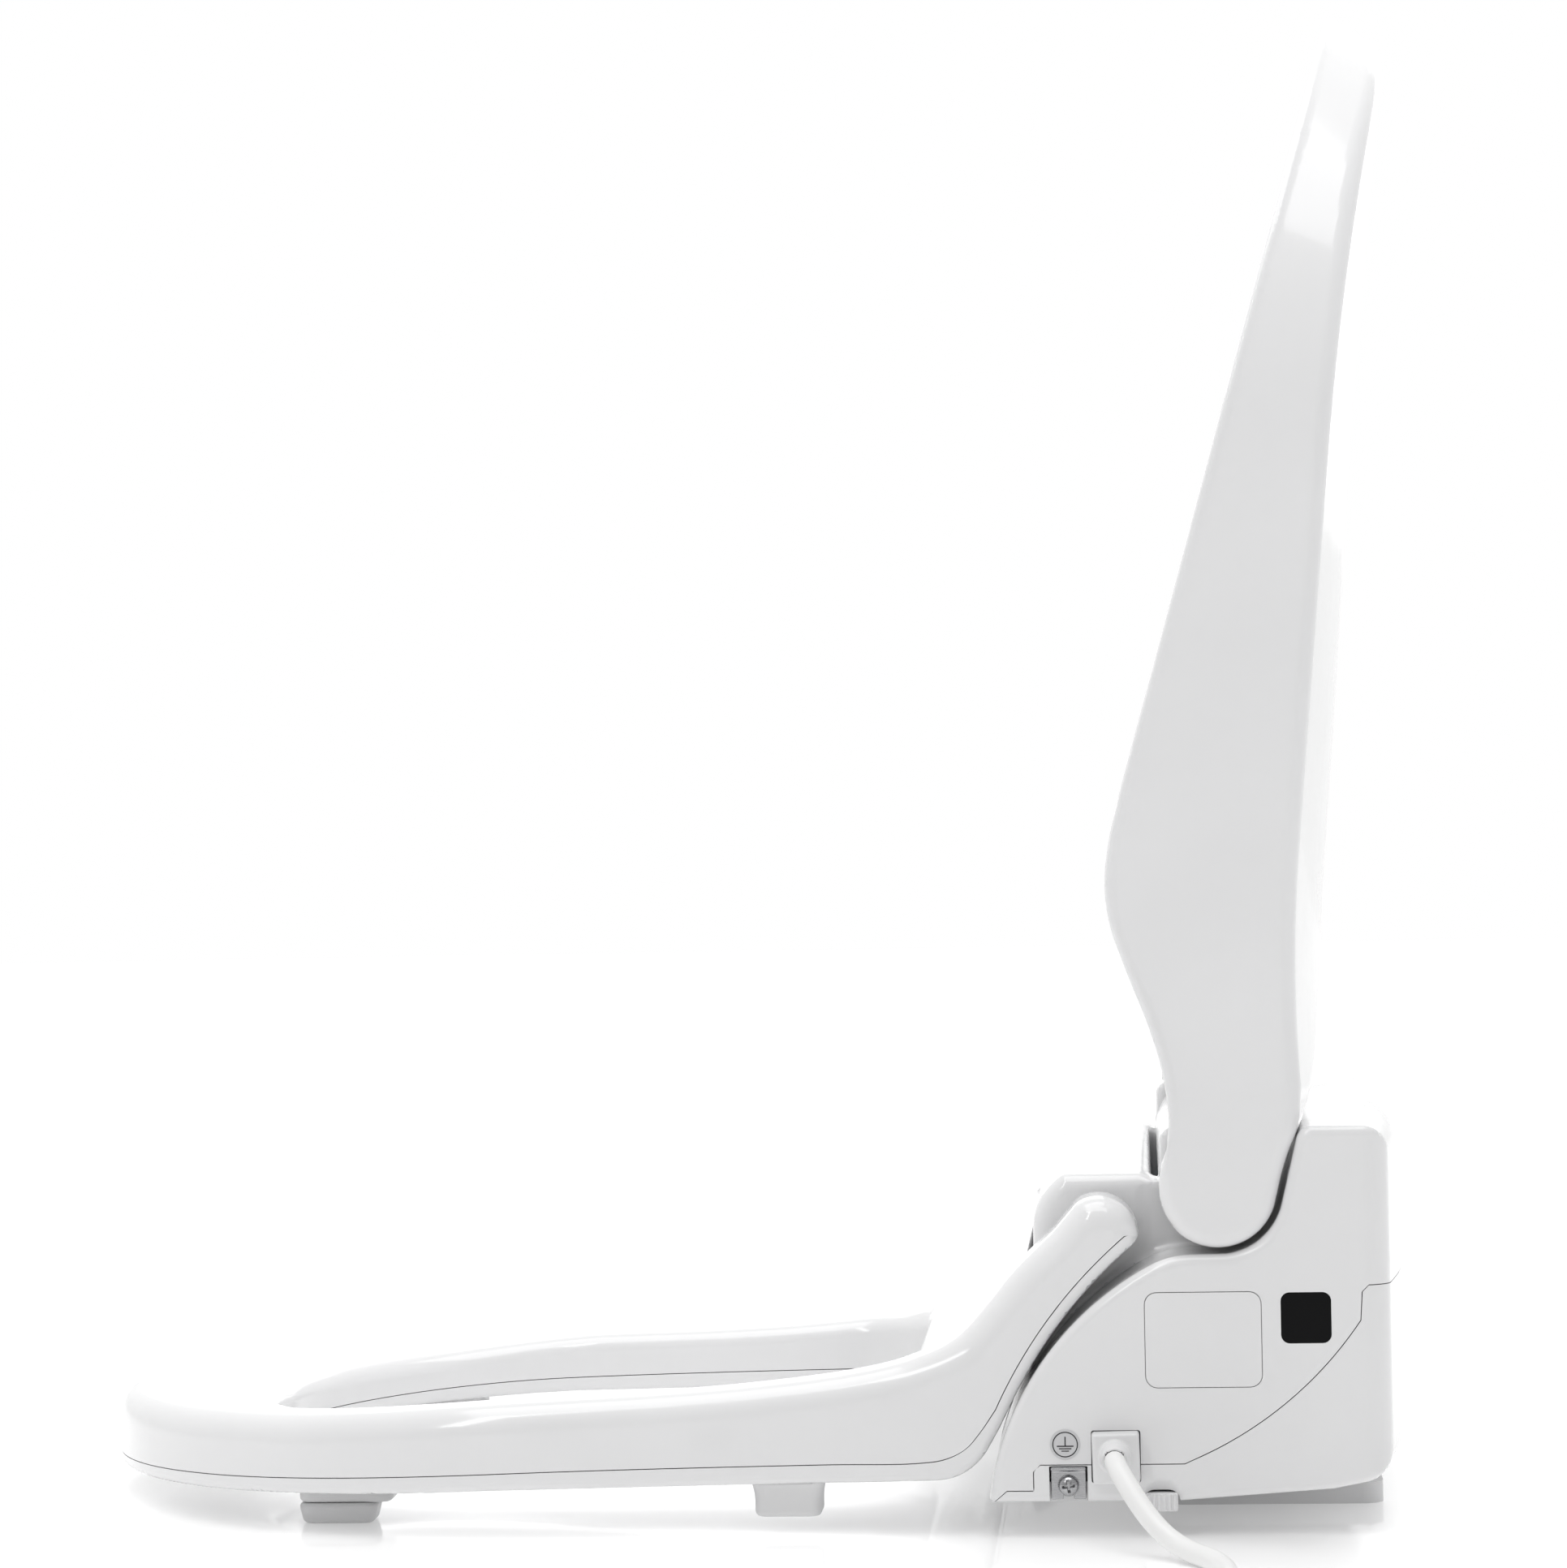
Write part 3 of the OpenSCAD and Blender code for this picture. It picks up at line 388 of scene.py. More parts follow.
def shade(piece, field, place=None, tight=0.9):
    """Smooth shading that follows the field where a face lies on it, and flat shading on the cut faces.
    place turns the piece's own points into the field's millimetres."""
    mesh = piece.data
    n = len(mesh.vertices)
    co = np.empty(n * 3)
    mesh.vertices.foreach_get("co", co)
    p = co.reshape(n, 3) / MM
    turned = np.eye(3)
    if place is not None:
        turned, shift = place
        p = (p - shift) @ turned
    value, g, _ = slope(field, p)
    on = np.abs(value) < 0.06
    g = g @ turned.T
    loops = len(mesh.loops)
    index = np.empty(loops, int)
    mesh.loops.foreach_get("vertex_index", index)
    face_normal = np.empty(len(mesh.polygons) * 3)
    mesh.polygons.foreach_get("normal", face_normal)
    face_normal = face_normal.reshape(-1, 3)
    totals = np.empty(len(mesh.polygons), int)
    mesh.polygons.foreach_get("loop_total", totals)
    per_loop = face_normal.repeat(totals, 0)
    wanted = g[index]
    follow = on[index] & ((wanted * per_loop).sum(1) > tight)
    normals = np.where(follow[:, None], wanted, per_loop)
    mesh.polygons.foreach_set("use_smooth", np.ones(len(mesh.polygons), bool))
    mesh.normals_split_custom_set(normals.tolist())
    return piece


def steps(*spans):
    """Grid lines: (start, end, pitch) for each span."""
    line = []
    for a, b, pitch in spans:
        n = max(1, round((b - a) / pitch))
        line += [a + (b - a) * i / n for i in range(n)]
    return line + [spans[-1][1]]


# ---- finishes --------------------------------------------------------------------------------


class Finish:
    """A node material, put together step by step."""

    def __init__(self, name):
        self.material = bpy.data.materials.new(name)
        self.material.use_nodes = True
        self.tree = self.material.node_tree
        self.tree.nodes.clear()
        self.out = self.tree.nodes.new("ShaderNodeOutputMaterial")
        self.shader = self.tree.nodes.new("ShaderNodeBsdfPrincipled")
        self.tree.links.new(self.shader.outputs[0], self.out.inputs["Surface"])
        self.place = self.tree.nodes.new("ShaderNodeTexCoord")

    def noise(self, scale, detail=3.0, rough=0.5, stretch=(1, 1, 1)):
        mapping = self.tree.nodes.new("ShaderNodeMapping")
        mapping.inputs["Scale"].default_value = stretch
        self.tree.links.new(self.place.outputs["Object"], mapping.inputs["Vector"])
        node = self.tree.nodes.new("ShaderNodeTexNoise")
        node.inputs["Scale"].default_value = scale
        node.inputs["Detail"].default_value = detail
        node.inputs["Roughness"].default_value = rough
        self.tree.links.new(mapping.outputs[0], node.inputs["Vector"])
        return node.outputs["Fac"]

    def blend(self, factor, low, high, span=(0.3, 0.7)):
        node = self.tree.nodes.new("ShaderNodeValToRGB")
        node.color_ramp.elements[0].position = span[0]
        node.color_ramp.elements[1].position = span[1]
        node.color_ramp.elements[0].color = (*low, 1)
        node.color_ramp.elements[1].color = (*high, 1)
        self.tree.links.new(factor, node.inputs["Fac"])
        self.tree.links.new(node.outputs["Color"], self.shader.inputs["Base Color"])

    def sheen_of(self, factor, low, high):
        node = self.tree.nodes.new("ShaderNodeMapRange")
        node.inputs["From Min"].default_value = 0.3
        node.inputs["From Max"].default_value = 0.7
        node.inputs["To Min"].default_value = low
        node.inputs["To Max"].default_value = high
        self.tree.links.new(factor, node.inputs["Value"])
        self.tree.links.new(node.outputs["Result"], self.shader.inputs["Roughness"])

    def relief(self, factor, depth, strength=1.0):
        node = self.tree.nodes.new("ShaderNodeBump")
        node.inputs["Distance"].default_value = depth
        node.inputs["Strength"].default_value = strength
        self.tree.links.new(factor, node.inputs["Height"])
        self.tree.links.new(node.outputs["Normal"], self.shader.inputs["Normal"])

    def set(self, **values):
        for name, value in values.items():
            self.shader.inputs[name.replace("_", " ")].default_value = value
        return self


def shaded(colour, factor):
    return tuple(min(1.0, c * factor) for c in colour)


def moulded(name, colour, rough, grain=900, depth=0.00002, spread=0.015):
    """Injection-moulded plastic: slight clouding of colour and gloss, and a fine surface texture."""
    finish = Finish(name)
    finish.blend(finish.noise(14, 4), shaded(colour, 1 - spread), shaded(colour, 1 + spread))
    finish.sheen_of(finish.noise(32, 3), rough * 0.85, rough * 1.15)
    finish.relief(finish.noise(grain, 2), depth, 0.35)
    return finish


def brushed(name, colour, rough, stretch=(1, 1, 30)):
    """Metal with fine drawing lines along one direction."""
    finish = Finish(name)
    lines = finish.noise(260, 3, 0.6, stretch)
    finish.blend(lines, shaded(colour, 0.88), shaded(colour, 1.08))
    finish.sheen_of(lines, rough * 0.8, rough * 1.3)
    finish.relief(lines, 0.00002, 0.3)
    return finish.set(Metallic=1.0)


FINISHES = {}


def build_finishes(colours):
    """The material of every slot in the record, by slot name."""
    white = tuple(colours.gloss_white)
    FINISHES["white_gloss"] = moulded("white_gloss", white, 0.16, 700, 0.00001).set(
        Coat_Weight=0.35, Coat_Roughness=0.05, Specular_IOR_Level=0.5).material
    FINISHES["white_satin"] = moulded("white_satin", shaded(white, 0.97), 0.42, 1500, 0.00003).material
    FINISHES["cord_white"] = moulded("cord_white", tuple(colours.cord_white), 0.38, 1300, 0.00003).material
    FINISHES["light_grey"] = moulded("light_grey", (0.56, 0.57, 0.58), 0.4, 1500, 0.00003).material
    FINISHES["dark_grey"] = moulded("dark_grey", (0.045, 0.047, 0.05), 0.45, 1500, 0.00004, 0.1).material
    FINISHES["black_gloss"] = moulded("black_gloss", (0.002, 0.002, 0.0024), 0.06, 500, 0.000005, 0.3).set(
        Specular_IOR_Level=0.12).material
    FINISHES["bumper_rubber"] = moulded("bumper_rubber", shaded(white, 0.95), 0.55, 1800, 0.00005).set(
        Sheen_Weight=0.1).material
    FINISHES["steel"] = brushed("steel", (0.42, 0.42, 0.43), 0.24).material
    FINISHES["aluminium"] = brushed("aluminium", (0.78, 0.78, 0.79), 0.32, (30, 1, 1)).material
    hose = moulded("hose", (0.42, 0.56, 0.63), 0.3, 900, 0.00003, 0.05)
    FINISHES["hose"] = hose.set(Subsurface_Weight=0.2, Subsurface_Scale=0.002).material
    FINISHES["board"] = moulded("board", (0.012, 0.09, 0.035), 0.35, 300, 0.00006, 0.15).material
    FINISHES["copper"] = brushed("copper", (0.72, 0.38, 0.2), 0.3, (1, 30, 1)).material
    FINISHES["badge_face"] = moulded("badge_face", (0.6, 0.6, 0.61), 0.35, 1500, 0.00002).material
    FINISHES["ink"] = moulded("ink", (0.02, 0.02, 0.022), 0.4, 1500, 0.00002, 0.2).material


def wear(piece, slot, body, *nodes, finish=None):
    """Gives a piece the finish named after its record slot unless another finish is given, puts it on its body
    and hides the CAD nodes that it stands for.
    """
    piece.data.materials.clear()
    piece.data.materials.append(FINISHES[finish or slot])
    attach(piece, body)
    if nodes:
        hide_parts(*nodes)
    return piece


# ---- shapes of the shells --------------------------------------------------------------------


def housing_side():
    """Side outline of the shoulders and the rear block."""
    nose = arc((7.4, -2.7), 116.3, 180 - math.degrees(math.asin(15.7 / 116.3)), 117, 60)
    saddle = arc(LID_HINGE, 24.3, -84, -12, 40)
    shoulder = flowing([nose[-3], nose[-1], (-40, 102.9), (-34, 104.0), (-27, 104.2), saddle[0]], 6)[6:-1]
    back = filleted(
        [(saddle[-1]), (9.5, 151.5), (56, 151.5), (56, 25), (38, 20.5), (20, 17), (-38, 13), (nose[0])],
        [0, 6, 19, 16, 8, 10, 10, 0], 12)
    return nose[:-1] + shoulder + saddle + back[1:-1]


def pod_outline():
    """Side outline of the pod between the arms."""
    round_nose = arc(SEAT_HINGE, 25, 180, 122, 30)
    return [(-90.5, 45)] + round_nose + [(-50.3, 131.5)] + arc((-50.3, 126.5), 5, 90, 0, 8)[1:] + [(-45.3, 45)]


def tower_outline():
    """Side outline of the two towers that carry the lid."""
    return filleted([(-47, 100), (-47, 128.5), (-42, 128.5), (-42, 149.5), (12, 149.5), (12, 100)],
                    [0, 1, 2, 6, 3, 0], 8)


HOUSING_SIDE = housing_side()
POD_SIDE = pod_outline()
TOWER_SIDE = tower_outline()
REAR_ROUND = (HALF_HOUSING ** 2 + 15 ** 2) / 30


def housing_field(sizes, inset=0.0):
    def field(x, y, z):
        ax = np.abs(x)
        bow = np.hypot(x, y - 56 + REAR_ROUND) - REAR_ROUND
        main = both(outline_distance(HOUSING_SIDE, y, z), ax - HALF_HOUSING, sizes.housing_edge)
        main = both(main, bow, 9.0)
        pod = both(outline_distance(POD_SIDE, y, z), ax - HALF_POD, sizes.pod_edge)
        shape = either(main, pod, 3.0)
        if not inset:
            tower = both(outline_distance(TOWER_SIDE, y, z), np.abs(ax - sum(TOWER) / 2) - 10, 2.5)
            shape = either(shape, tower, 3.5)
            recess = np.sqrt(((x - 190.0) / 6.5) ** 2 + ((y + 43.7) / 8.5) ** 2 + ((z - 15.5) / 7.5) ** 2)
            shape = both(shape, (1 - recess) * 5.0, 0.6)
        return shape + inset

    return field


def housing_seam(gap):
    """Everything under the seam between the tray and the cover, grown by gap."""
    sweep = arc((-87.2, 160.3), 143 - gap, -66, -34.4, 24)
    front = [(-106, 13 + gap), (-101, 17.4 + gap), (-91 + gap, 17.4 + gap), (-91 + gap, 24.5),
             (-88.5, 27 + gap), (-35, 27 + gap)]
    rear = [(31.5 - gap, 90), (34, 92.5 + gap), (72, 92.5 + gap), (72, -8), (-114, -8)]
    return front + sweep + rear


SEAT_TOP_LINE = flowing(
    [(-500, 40.6), (-456, 41.6), (-377, 44.5), (-300, 50), (-230, 53.6), (-195, 56.3), (-160, 60.6),
     (-138, 65.5), (-119, 74.0), (-107, 86.5), (-97, 98.5), (-82, 113)], 10)


def seat_outline():
    front = [(-500, 10.5)]
    top = SEAT_TOP_LINE
    hub = arc(SEAT_HINGE, 15, 122, 2, 40)
    rear = arc(ARM_CENTRE, 181.4, 129.6, 153, 40)
    heel = flowing([rear[-1], (-104.6, 38.0), (-111.5, 27.5), (-121, 21.6), (-140, 20.4), (-174, 20)], 8)[1:]
    under = [(-296, 18), (-462, 10.9)]
    return front + top + hub + rear + heel + under


SEAT_SIDE = seat_outline()


LOW_POINTS = [(-462, 11), (-174, 20), (-140, 20.4), (-121, 21.6), (-111.5, 27.5), (-103, 46), (-90, 70),
              (-75, 89.5), (-57, 108), (-50, 110)]
LOW_Y = np.array([p[0] for p in LOW_POINTS])
LOW_Z = np.array([p[1] for p in LOW_POINTS])
TOP_Y = np.array([p[0] for p in SEAT_TOP_LINE])
TOP_Z = np.array([p[1] for p in SEAT_TOP_LINE])
TOP_SLOPE = np.gradient(TOP_Z, TOP_Y)


def sitting_height(x, y):
    """Height of the sitting face, which dips from a crest near the edge to the opening, and its slope."""
    far = np.hypot(x, y + 288)
    front = y < -288
    reach = np.where(front, far, np.abs(x))
    crest_y = np.where(front, -288 + (y + 288) / np.maximum(far, 1) * 168, y)
    dip = np.clip((168 - reach) / 62, 0, 1)
    dip = dip * dip * (3 - 2 * dip)
    depth = 8.3 + 3.2 * np.clip((y + 288) / 138, 0, 1)
    run_out = np.clip((-104 - y) / 52, 0, 1)
    depth = depth * run_out * run_out * (3 - 2 * run_out)
    return np.interp(crest_y, TOP_Y, TOP_Z) - depth * dip, np.interp(crest_y, TOP_Y, TOP_SLOPE)


def sitting_face(x, y, z):
    """Distance over the sitting face."""
    height, steepness = sitting_height(x, y)
    return (z - height) / np.sqrt(1 + steepness ** 2)


def seat_field(sizes, inset=0.0):
    def field(x, y, z):
        ax = np.abs(x)
        outer = np.where(y < -288, np.hypot(x, y + 288) - HALF_SEAT, ax - HALF_SEAT)
        qx, qy = ax - 73, y + 175
        rear_hole = np.hypot(np.maximum(qx, 0), np.maximum(qy, 0)) + np.minimum(np.maximum(qx, qy), 0) - 35
        hole = np.where(y < -298, np.hypot(x, y + 298) - 108, rear_hole)
        shape = outline_distance(SEAT_SIDE, y, z)
        shape = np.where(y < -84, np.maximum(shape, sitting_face(x, y, z)), shape)
        # the upper shoulder is wide and the lower and rear edges are narrow
        middle = (np.interp(y, TOP_Y, TOP_Z) + np.interp(y, LOW_Y, LOW_Z)) / 2
        upper = np.clip((z - middle) / 12 + 0.5, 0, 1)
        shape = both(shape, outer, 3.5 + (sizes.seat_shoulder - 3.5) * upper * upper * (3 - 2 * upper))
        shape = both(shape, -hole, sizes.seat_inner)
        room = np.maximum(ax - ARM_INNER, -93.1 - y)
        shape = both(shape, -room, 4.0)
        return shape + inset

    return field


def seat_seam(gap):
    """Everything under the seam between the seat's two shells, grown by gap."""
    sweep = arc(ARM_CENTRE, 185.9 + gap, 155, 130, 24)
    return [(-480, 16 + gap), (-465, 16 + gap)] + flowing(
        [(-420, 18.5 + gap), (-296, 24.6 + gap), (-170, 27.2 + gap), (-135, 27.4 + gap), (-124, 28.8 + gap),
         (-116.2 - gap, 32.6), (-110.6 - gap, 38.8), sweep[0]], 10)[:-1] + sweep + [
            (-54 + gap, 111.3), (0, 110.3), (0, -5), (-480, -5)]


LID_RIM = flowing(
    [(-500, 56), (-340, 56), (-200, 56), (-152, 56), (-134, 56.8), (-119, 59.4), (-106, 64.6), (-90, 75.4),
     (-74, 87.4), (-61, 95.8), (-52, 100.2), (-45, 103.2), (-38, 105.3), (-30, 106.3)], 8)
LID_CROWN = flowing(
    [(-500, 75.2), (-390, 92.7), (-309, 106.8), (-216, 128.4), (-125, 147), (-90, 152.6), (-65, 154.6),
     (-54, 153.2), (-44, 150.8), (-33, 150.1), (-24, 150.4)], 10)


def lid_outline():
    hub = arc(LID_HINGE, 22, 95, -96, 60)
    return [(-500, 56)] + LID_CROWN + hub + LID_RIM[::-1]


LID_SIDE = lid_outline()


def lid_field(sizes):
    crown_drop = 17.0
    round_r = (HALF_LID ** 2 + crown_drop ** 2) / (2 * crown_drop)
    pitch = math.radians(10.65)
    inside_line = [(-500, 0)] + [(p[0] + 0.5, p[1] - 3.35) for p in LID_CROWN[:64]] + [
        (-50, 143.8), (-34, 139), (20, 100), (20, 0)]

    def crown(x, y, z):
        up = -(y + 65) * math.sin(pitch) + (z - 158) * math.cos(pitch) + round_r
        # the sides drop less towards the hinge
        lift = 7 * np.clip((y + 150) / 85, 0, 1) ** 2
        return np.hypot(x, up) - round_r - lift

    def plan(x, y, z, e):
        # the nose leans back a little towards the crown
        far = np.hypot(x, y + 291)
        lean = 0.27 * np.maximum(z - 56, 0) * np.clip((-291 - y) / np.maximum(far, 1), 0, 1) ** 3
        return np.where(y < -291, far - HALF_LID + lean, np.abs(x) - HALF_LID) + e

    def field(x, y, z):
        ax = np.abs(x)
        # a raised strip runs along the rim
        rim = line_distance(LID_RIM, y, z)
        strip = np.where(y > -34, 1.0, np.clip((rim - 2.2) / 2.4, 0, 1))
        strip = 0.35 * strip * strip * (3 - 2 * strip)
        rise = np.clip(rim / 16, 0, 1)
        edge = 1.6 + (sizes.lid_edge - 1.6) * rise * rise * (3 - 2 * rise)
        shape = both(outline_distance(LID_SIDE, y, z), crown(x, y, z), 2.0)
        shape = both(shape, plan(x, y, z, 0) + strip, edge)
        hollow = both(outline_distance(inside_line, y, z), plan(x, y, z, 3.7), 3.0)
        hollow = both(hollow, crown(x, y, z) + 3.3, 3.0)
        hub = np.hypot(y - LID_HINGE[0], z - LID_HINGE[1]) - 22
        hollow = both(hollow, -hub, 1.5)
        shape = both(shape, -hollow, 1.3)
        gap = np.maximum(np.abs(ax - 136.5) - 12.5, hub - 16)
        shape = both(shape, -gap, 1.2)
        return shape

    return field


# ---- the pieces ------------------------------------------------------------------------------


def hollowed(piece, field, xs, ys, zs):
    """Adds the inner faces of a hollow moulding."""
    points, faces = skin(field, xs, ys, zs, 2)
    inner = mesh_of(piece.name + "_inner", points, faces[:, ::-1])
    return joined([piece, inner])


def wand_port():
    """Bar along the spray wand's axis, for its way out."""
    lean = math.radians(28)
    ahead = (0, math.cos(lean), math.sin(lean))
    return rod("port", (0, -96 - 30 * ahead[1], 16 - 30 * ahead[2]), ahead, 10.2, 60)


def block_room():
    """Room for the cord block."""
    corners = [(-69.5, 20.2), (-51.2, 20.2), (-51.2, 39.7), (-69.5, 39.7)]
    return prism("inlet_room", filleted(corners, [1] * 4), 177, 192)


def water_room():
    """Room for the water stub."""
    return rod("water_out", (-195, -30, 34), (1, 0, 0), 11.4, 16)


def build_housing(sizes):
    outer = housing_field(sizes)
    xs = steps((-190, -120, 1.9), (-120, 120, 5.0), (120, 190, 1.9))
    points, faces = skin(outer, xs, steps((-114, 66, 1.9)), steps((6, 158, 1.9)))
    shell = mesh_of("upper_cover_shell", points, faces)
    coarse = [steps((-190, 190, 6)), steps((-114, 66, 6)), steps((6, 158, 6))]
    hollowed(shell, housing_field(sizes, 3.0), *coarse)
    tray = shell.copy()
    tray.data = shell.data.copy()
    tray.name = "base_tray_shell"
    bpy.context.scene.collection.objects.link(tray)
    gap = sizes.seam / 2
    cut(shell, prism("seam_up", housing_seam(gap), -200, 200))
    cut(tray, prism("seam_down", housing_seam(-gap), -200, 200), "INTERSECT")
    corners = [(-49.0, 55.1), (-5.6, 55.1), (-5.6, 90.7), (-49.0, 90.7)]
    groove = prism("panel_out", filleted(corners, [4.6] * 4), 184.7, 190)
    corners = [(1.4, 71.2), (20, 71.2), (20, 90.1), (1.4, 90.1)]
    window = prism("window_out", filleted(corners, [3.2] * 4), 182, 190)
    outlet = prism("dryer_out", [(-114, 28), (-88, 28), (-88, 42), (-114, 42)], 100.5, 117.5)
    pins = [rod("pin_out", (s * 143, SEAT_HINGE[0], SEAT_HINGE[1]), (s, 0, 0), 10, 8) for s in (-1, 1)]
    cut(shell, joined([groove, window, outlet] + pins))
    cut(shell, joined([block_room(), water_room()]))
    cut(shell, wand_port())
    terminal = prism("terminal_out", [(-85.2, 9), (-71, 9), (-71, 26.5), (-85.2, 26.5)], 182.5, 190)
    corners = [(-50.6, 5), (-36.8, 5), (-36.8, 17.3), (-50.6, 17.3)]
    button = prism("button_out", filleted(corners, [0, 0, 4, 4]), 170, 190)
    cut(tray, joined([wand_port(), block_room(), water_room(), terminal, button]))
    shade(shell, outer)
    shade(tray, outer)
    wear(shell, "white_gloss", "base", "upper_cover")
    wear(tray, "white_gloss", "base", "base_tray")


def build_seat(sizes):
    outer = seat_field(sizes)
    points, faces = skin(outer, steps((-186, 186, 2.1)), steps((-475, -44, 2.1)), steps((6, 130, 2.0)))
    top = mesh_of("seat_top_shell", points, faces)
    hollowed(top, seat_field(sizes, 3.2), steps((-186, 186, 5)), steps((-475, -44, 5)), steps((6, 130, 4)))
    bottom = top.copy()
    bottom.data = top.data.copy()
    bottom.name = "seat_bottom_shell"
    bpy.context.scene.collection.objects.link(bottom)
    gap = sizes.seam / 2
    cut(top, prism("seam_up", seat_seam(gap), -200, 200))
    cut(bottom, prism("seam_down", seat_seam(-gap), -200, 200), "INTERSECT")
    shade(top, outer)
    shade(bottom, outer)
    wear(top, "white_gloss", "seat", "seat_top")
    wear(bottom, "white_gloss", "seat", "seat_bottom")


def build_heater():
    """The heating foil, close under the sitting face along both sides and round the front."""
    rows = [(y, 0.0) for y in np.linspace(-150, -298, 20)]
    rows += [(-298.0, -turn) for turn in np.linspace(0, math.pi, 49)[1:-1]]
    rows += [(y, -math.pi) for y in np.linspace(-298, -150, 20)]
    widths = np.linspace(119.5, 156, 9)
    points = []
    for under in (3.6, 4.2):
        for y, turn in rows:
            for width in widths:
                px, py = width * math.cos(turn), y + width * math.sin(turn)
                points.append((px, py, min(sitting_height(px, py)[0], np.interp(py, TOP_Y, TOP_Z)) - under))
    n, m = len(rows), len(widths)
    low = n * m
    faces = []
    for i in range(n - 1):
        for j in range(m - 1):
            a = i * m + j
            faces += [[a, a + m, a + m + 1, a + 1], [low + a, low + a + 1, low + a + m + 1, low + a + m]]
        a, b = i * m, (i + 1) * m
        faces.append([a, low + a, low + b, b])
        a, b = a + m - 1, b + m - 1
        faces.append([a, b, low + b, low + a])
    for j in range(m - 1):
        faces.append([j, j + 1, low + j + 1, low + j])
        a = low - m + j
        faces.append([a, low + a, low + a + 1, a + 1])
    wear(mesh_of("heating_foil", points, faces), "copper", "seat", "seat_heater")


def build_lid(sizes):
    field = lid_field(sizes)
    xs = steps((-190, -118, 1.7), (-118, 118, 2.1), (118, 190, 1.7))
    points, faces = skin(field, xs, steps((-482, 5, 1.7)), steps((50, 162, 1.6)))
    hinge = np.array([0, LID_HINGE[0], LID_HINGE[1]])
    c, s = math.cos(-LID_OPEN), math.sin(-LID_OPEN)
    turn = np.array([[1, 0, 0], [0, c, -s], [0, s, c]])
    opened = (points - hinge) @ turn.T + hinge
    lid = mesh_of("lid_moulding", opened, faces)
    shade(lid, field, (turn, hinge - hinge @ turn.T), 0.3)
    wear(lid, "white_gloss", "lid", "lid_shell")


def cord_path(sizes):
    """Every point of the cord's centreline, from the boot to the plug."""
    cx, cy = COIL_CENTRE
    path = list(ROUTE)
    turns = 3.25
    count = 96
    length = 0.0
    spiral = []
    for i in range(count + 1):
        t = i / count
        angle = math.radians(90 - 360 * turns * t)
        radius = sizes.outer_turn + (sizes.inner_turn - sizes.outer_turn) * t
        spiral.append([cx + radius * math.cos(angle), cy + radius * math.sin(angle), 0.004])
    for i in range(count, 0, -1):
        rise = max(0.0, 1 - length / 0.075)
        spiral[i][2] = 0.004 + 0.0079 * rise * rise * (3 - 2 * rise)
        length += math.dist(spiral[i][:2], spiral[i - 1][:2])
    return path + [tuple(p) for p in spiral] + TAIL


def build_cord(sizes):
    """The mains cord along its path."""
    path = cord_path(sizes)
    curve = bpy.data.curves.new("mains_cord", "CURVE")
    curve.dimensions = "3D"
    curve.bevel_depth = sizes.diameter / 2
    curve.bevel_resolution = 5
    curve.resolution_u = 3
    curve.use_fill_caps = True
    line = curve.splines.new("NURBS")
    line.points.add(len(path) - 1)
    for point, place in zip(line.points, path):
        point.co = (*place, 1)
    line.order_u = 4
    line.use_endpoint_u = True
    cord = bpy.data.objects.new("mains_cord", curve)
    bpy.context.scene.collection.objects.link(cord)
    wear(cord, "cord_white", "base", "power_cord", "cord_coil", "cord_tail")


def build_camera():
    """A long lens at the seat's side, just above it."""
    turn = math.radians(4.25)
    roll = math.radians(1.1)
    ahead = Vector((-math.cos(turn), -math.sin(turn), 0))
    right = Vector((-math.sin(turn), math.cos(turn), 0))
    up = Vector((0, 0, 1))
    cam_x = math.cos(roll) * right - math.sin(roll) * up
    cam_y = math.sin(roll) * right + math.cos(roll) * up
    data = bpy.data.cameras.new("camera")
    data.lens = 109.06
    data.sensor_width = 36
    camera = bpy.data.objects.new("camera", data)
    bpy.context.scene.collection.objects.link(camera)
    camera.matrix_world = Matrix.Translation((1.950, -0.048, 0.2815)) @ Matrix(
        (cam_x, cam_y, -ahead)).transposed().to_4x4()
    bpy.context.scene.camera = camera


def area_light(name, place, target, size, power):
    """A rectangular lamp that looks at target."""
    data = bpy.data.lights.new(name, "AREA")
    data.shape = "RECTANGLE"
    data.size, data.size_y = size
    data.energy = power
    lamp = bpy.data.objects.new(name, data)
    bpy.context.scene.collection.objects.link(lamp)
    lamp.location = place
    lamp.rotation_euler = (Vector(target) - Vector(place)).to_track_quat("-Z", "Y").to_euler()


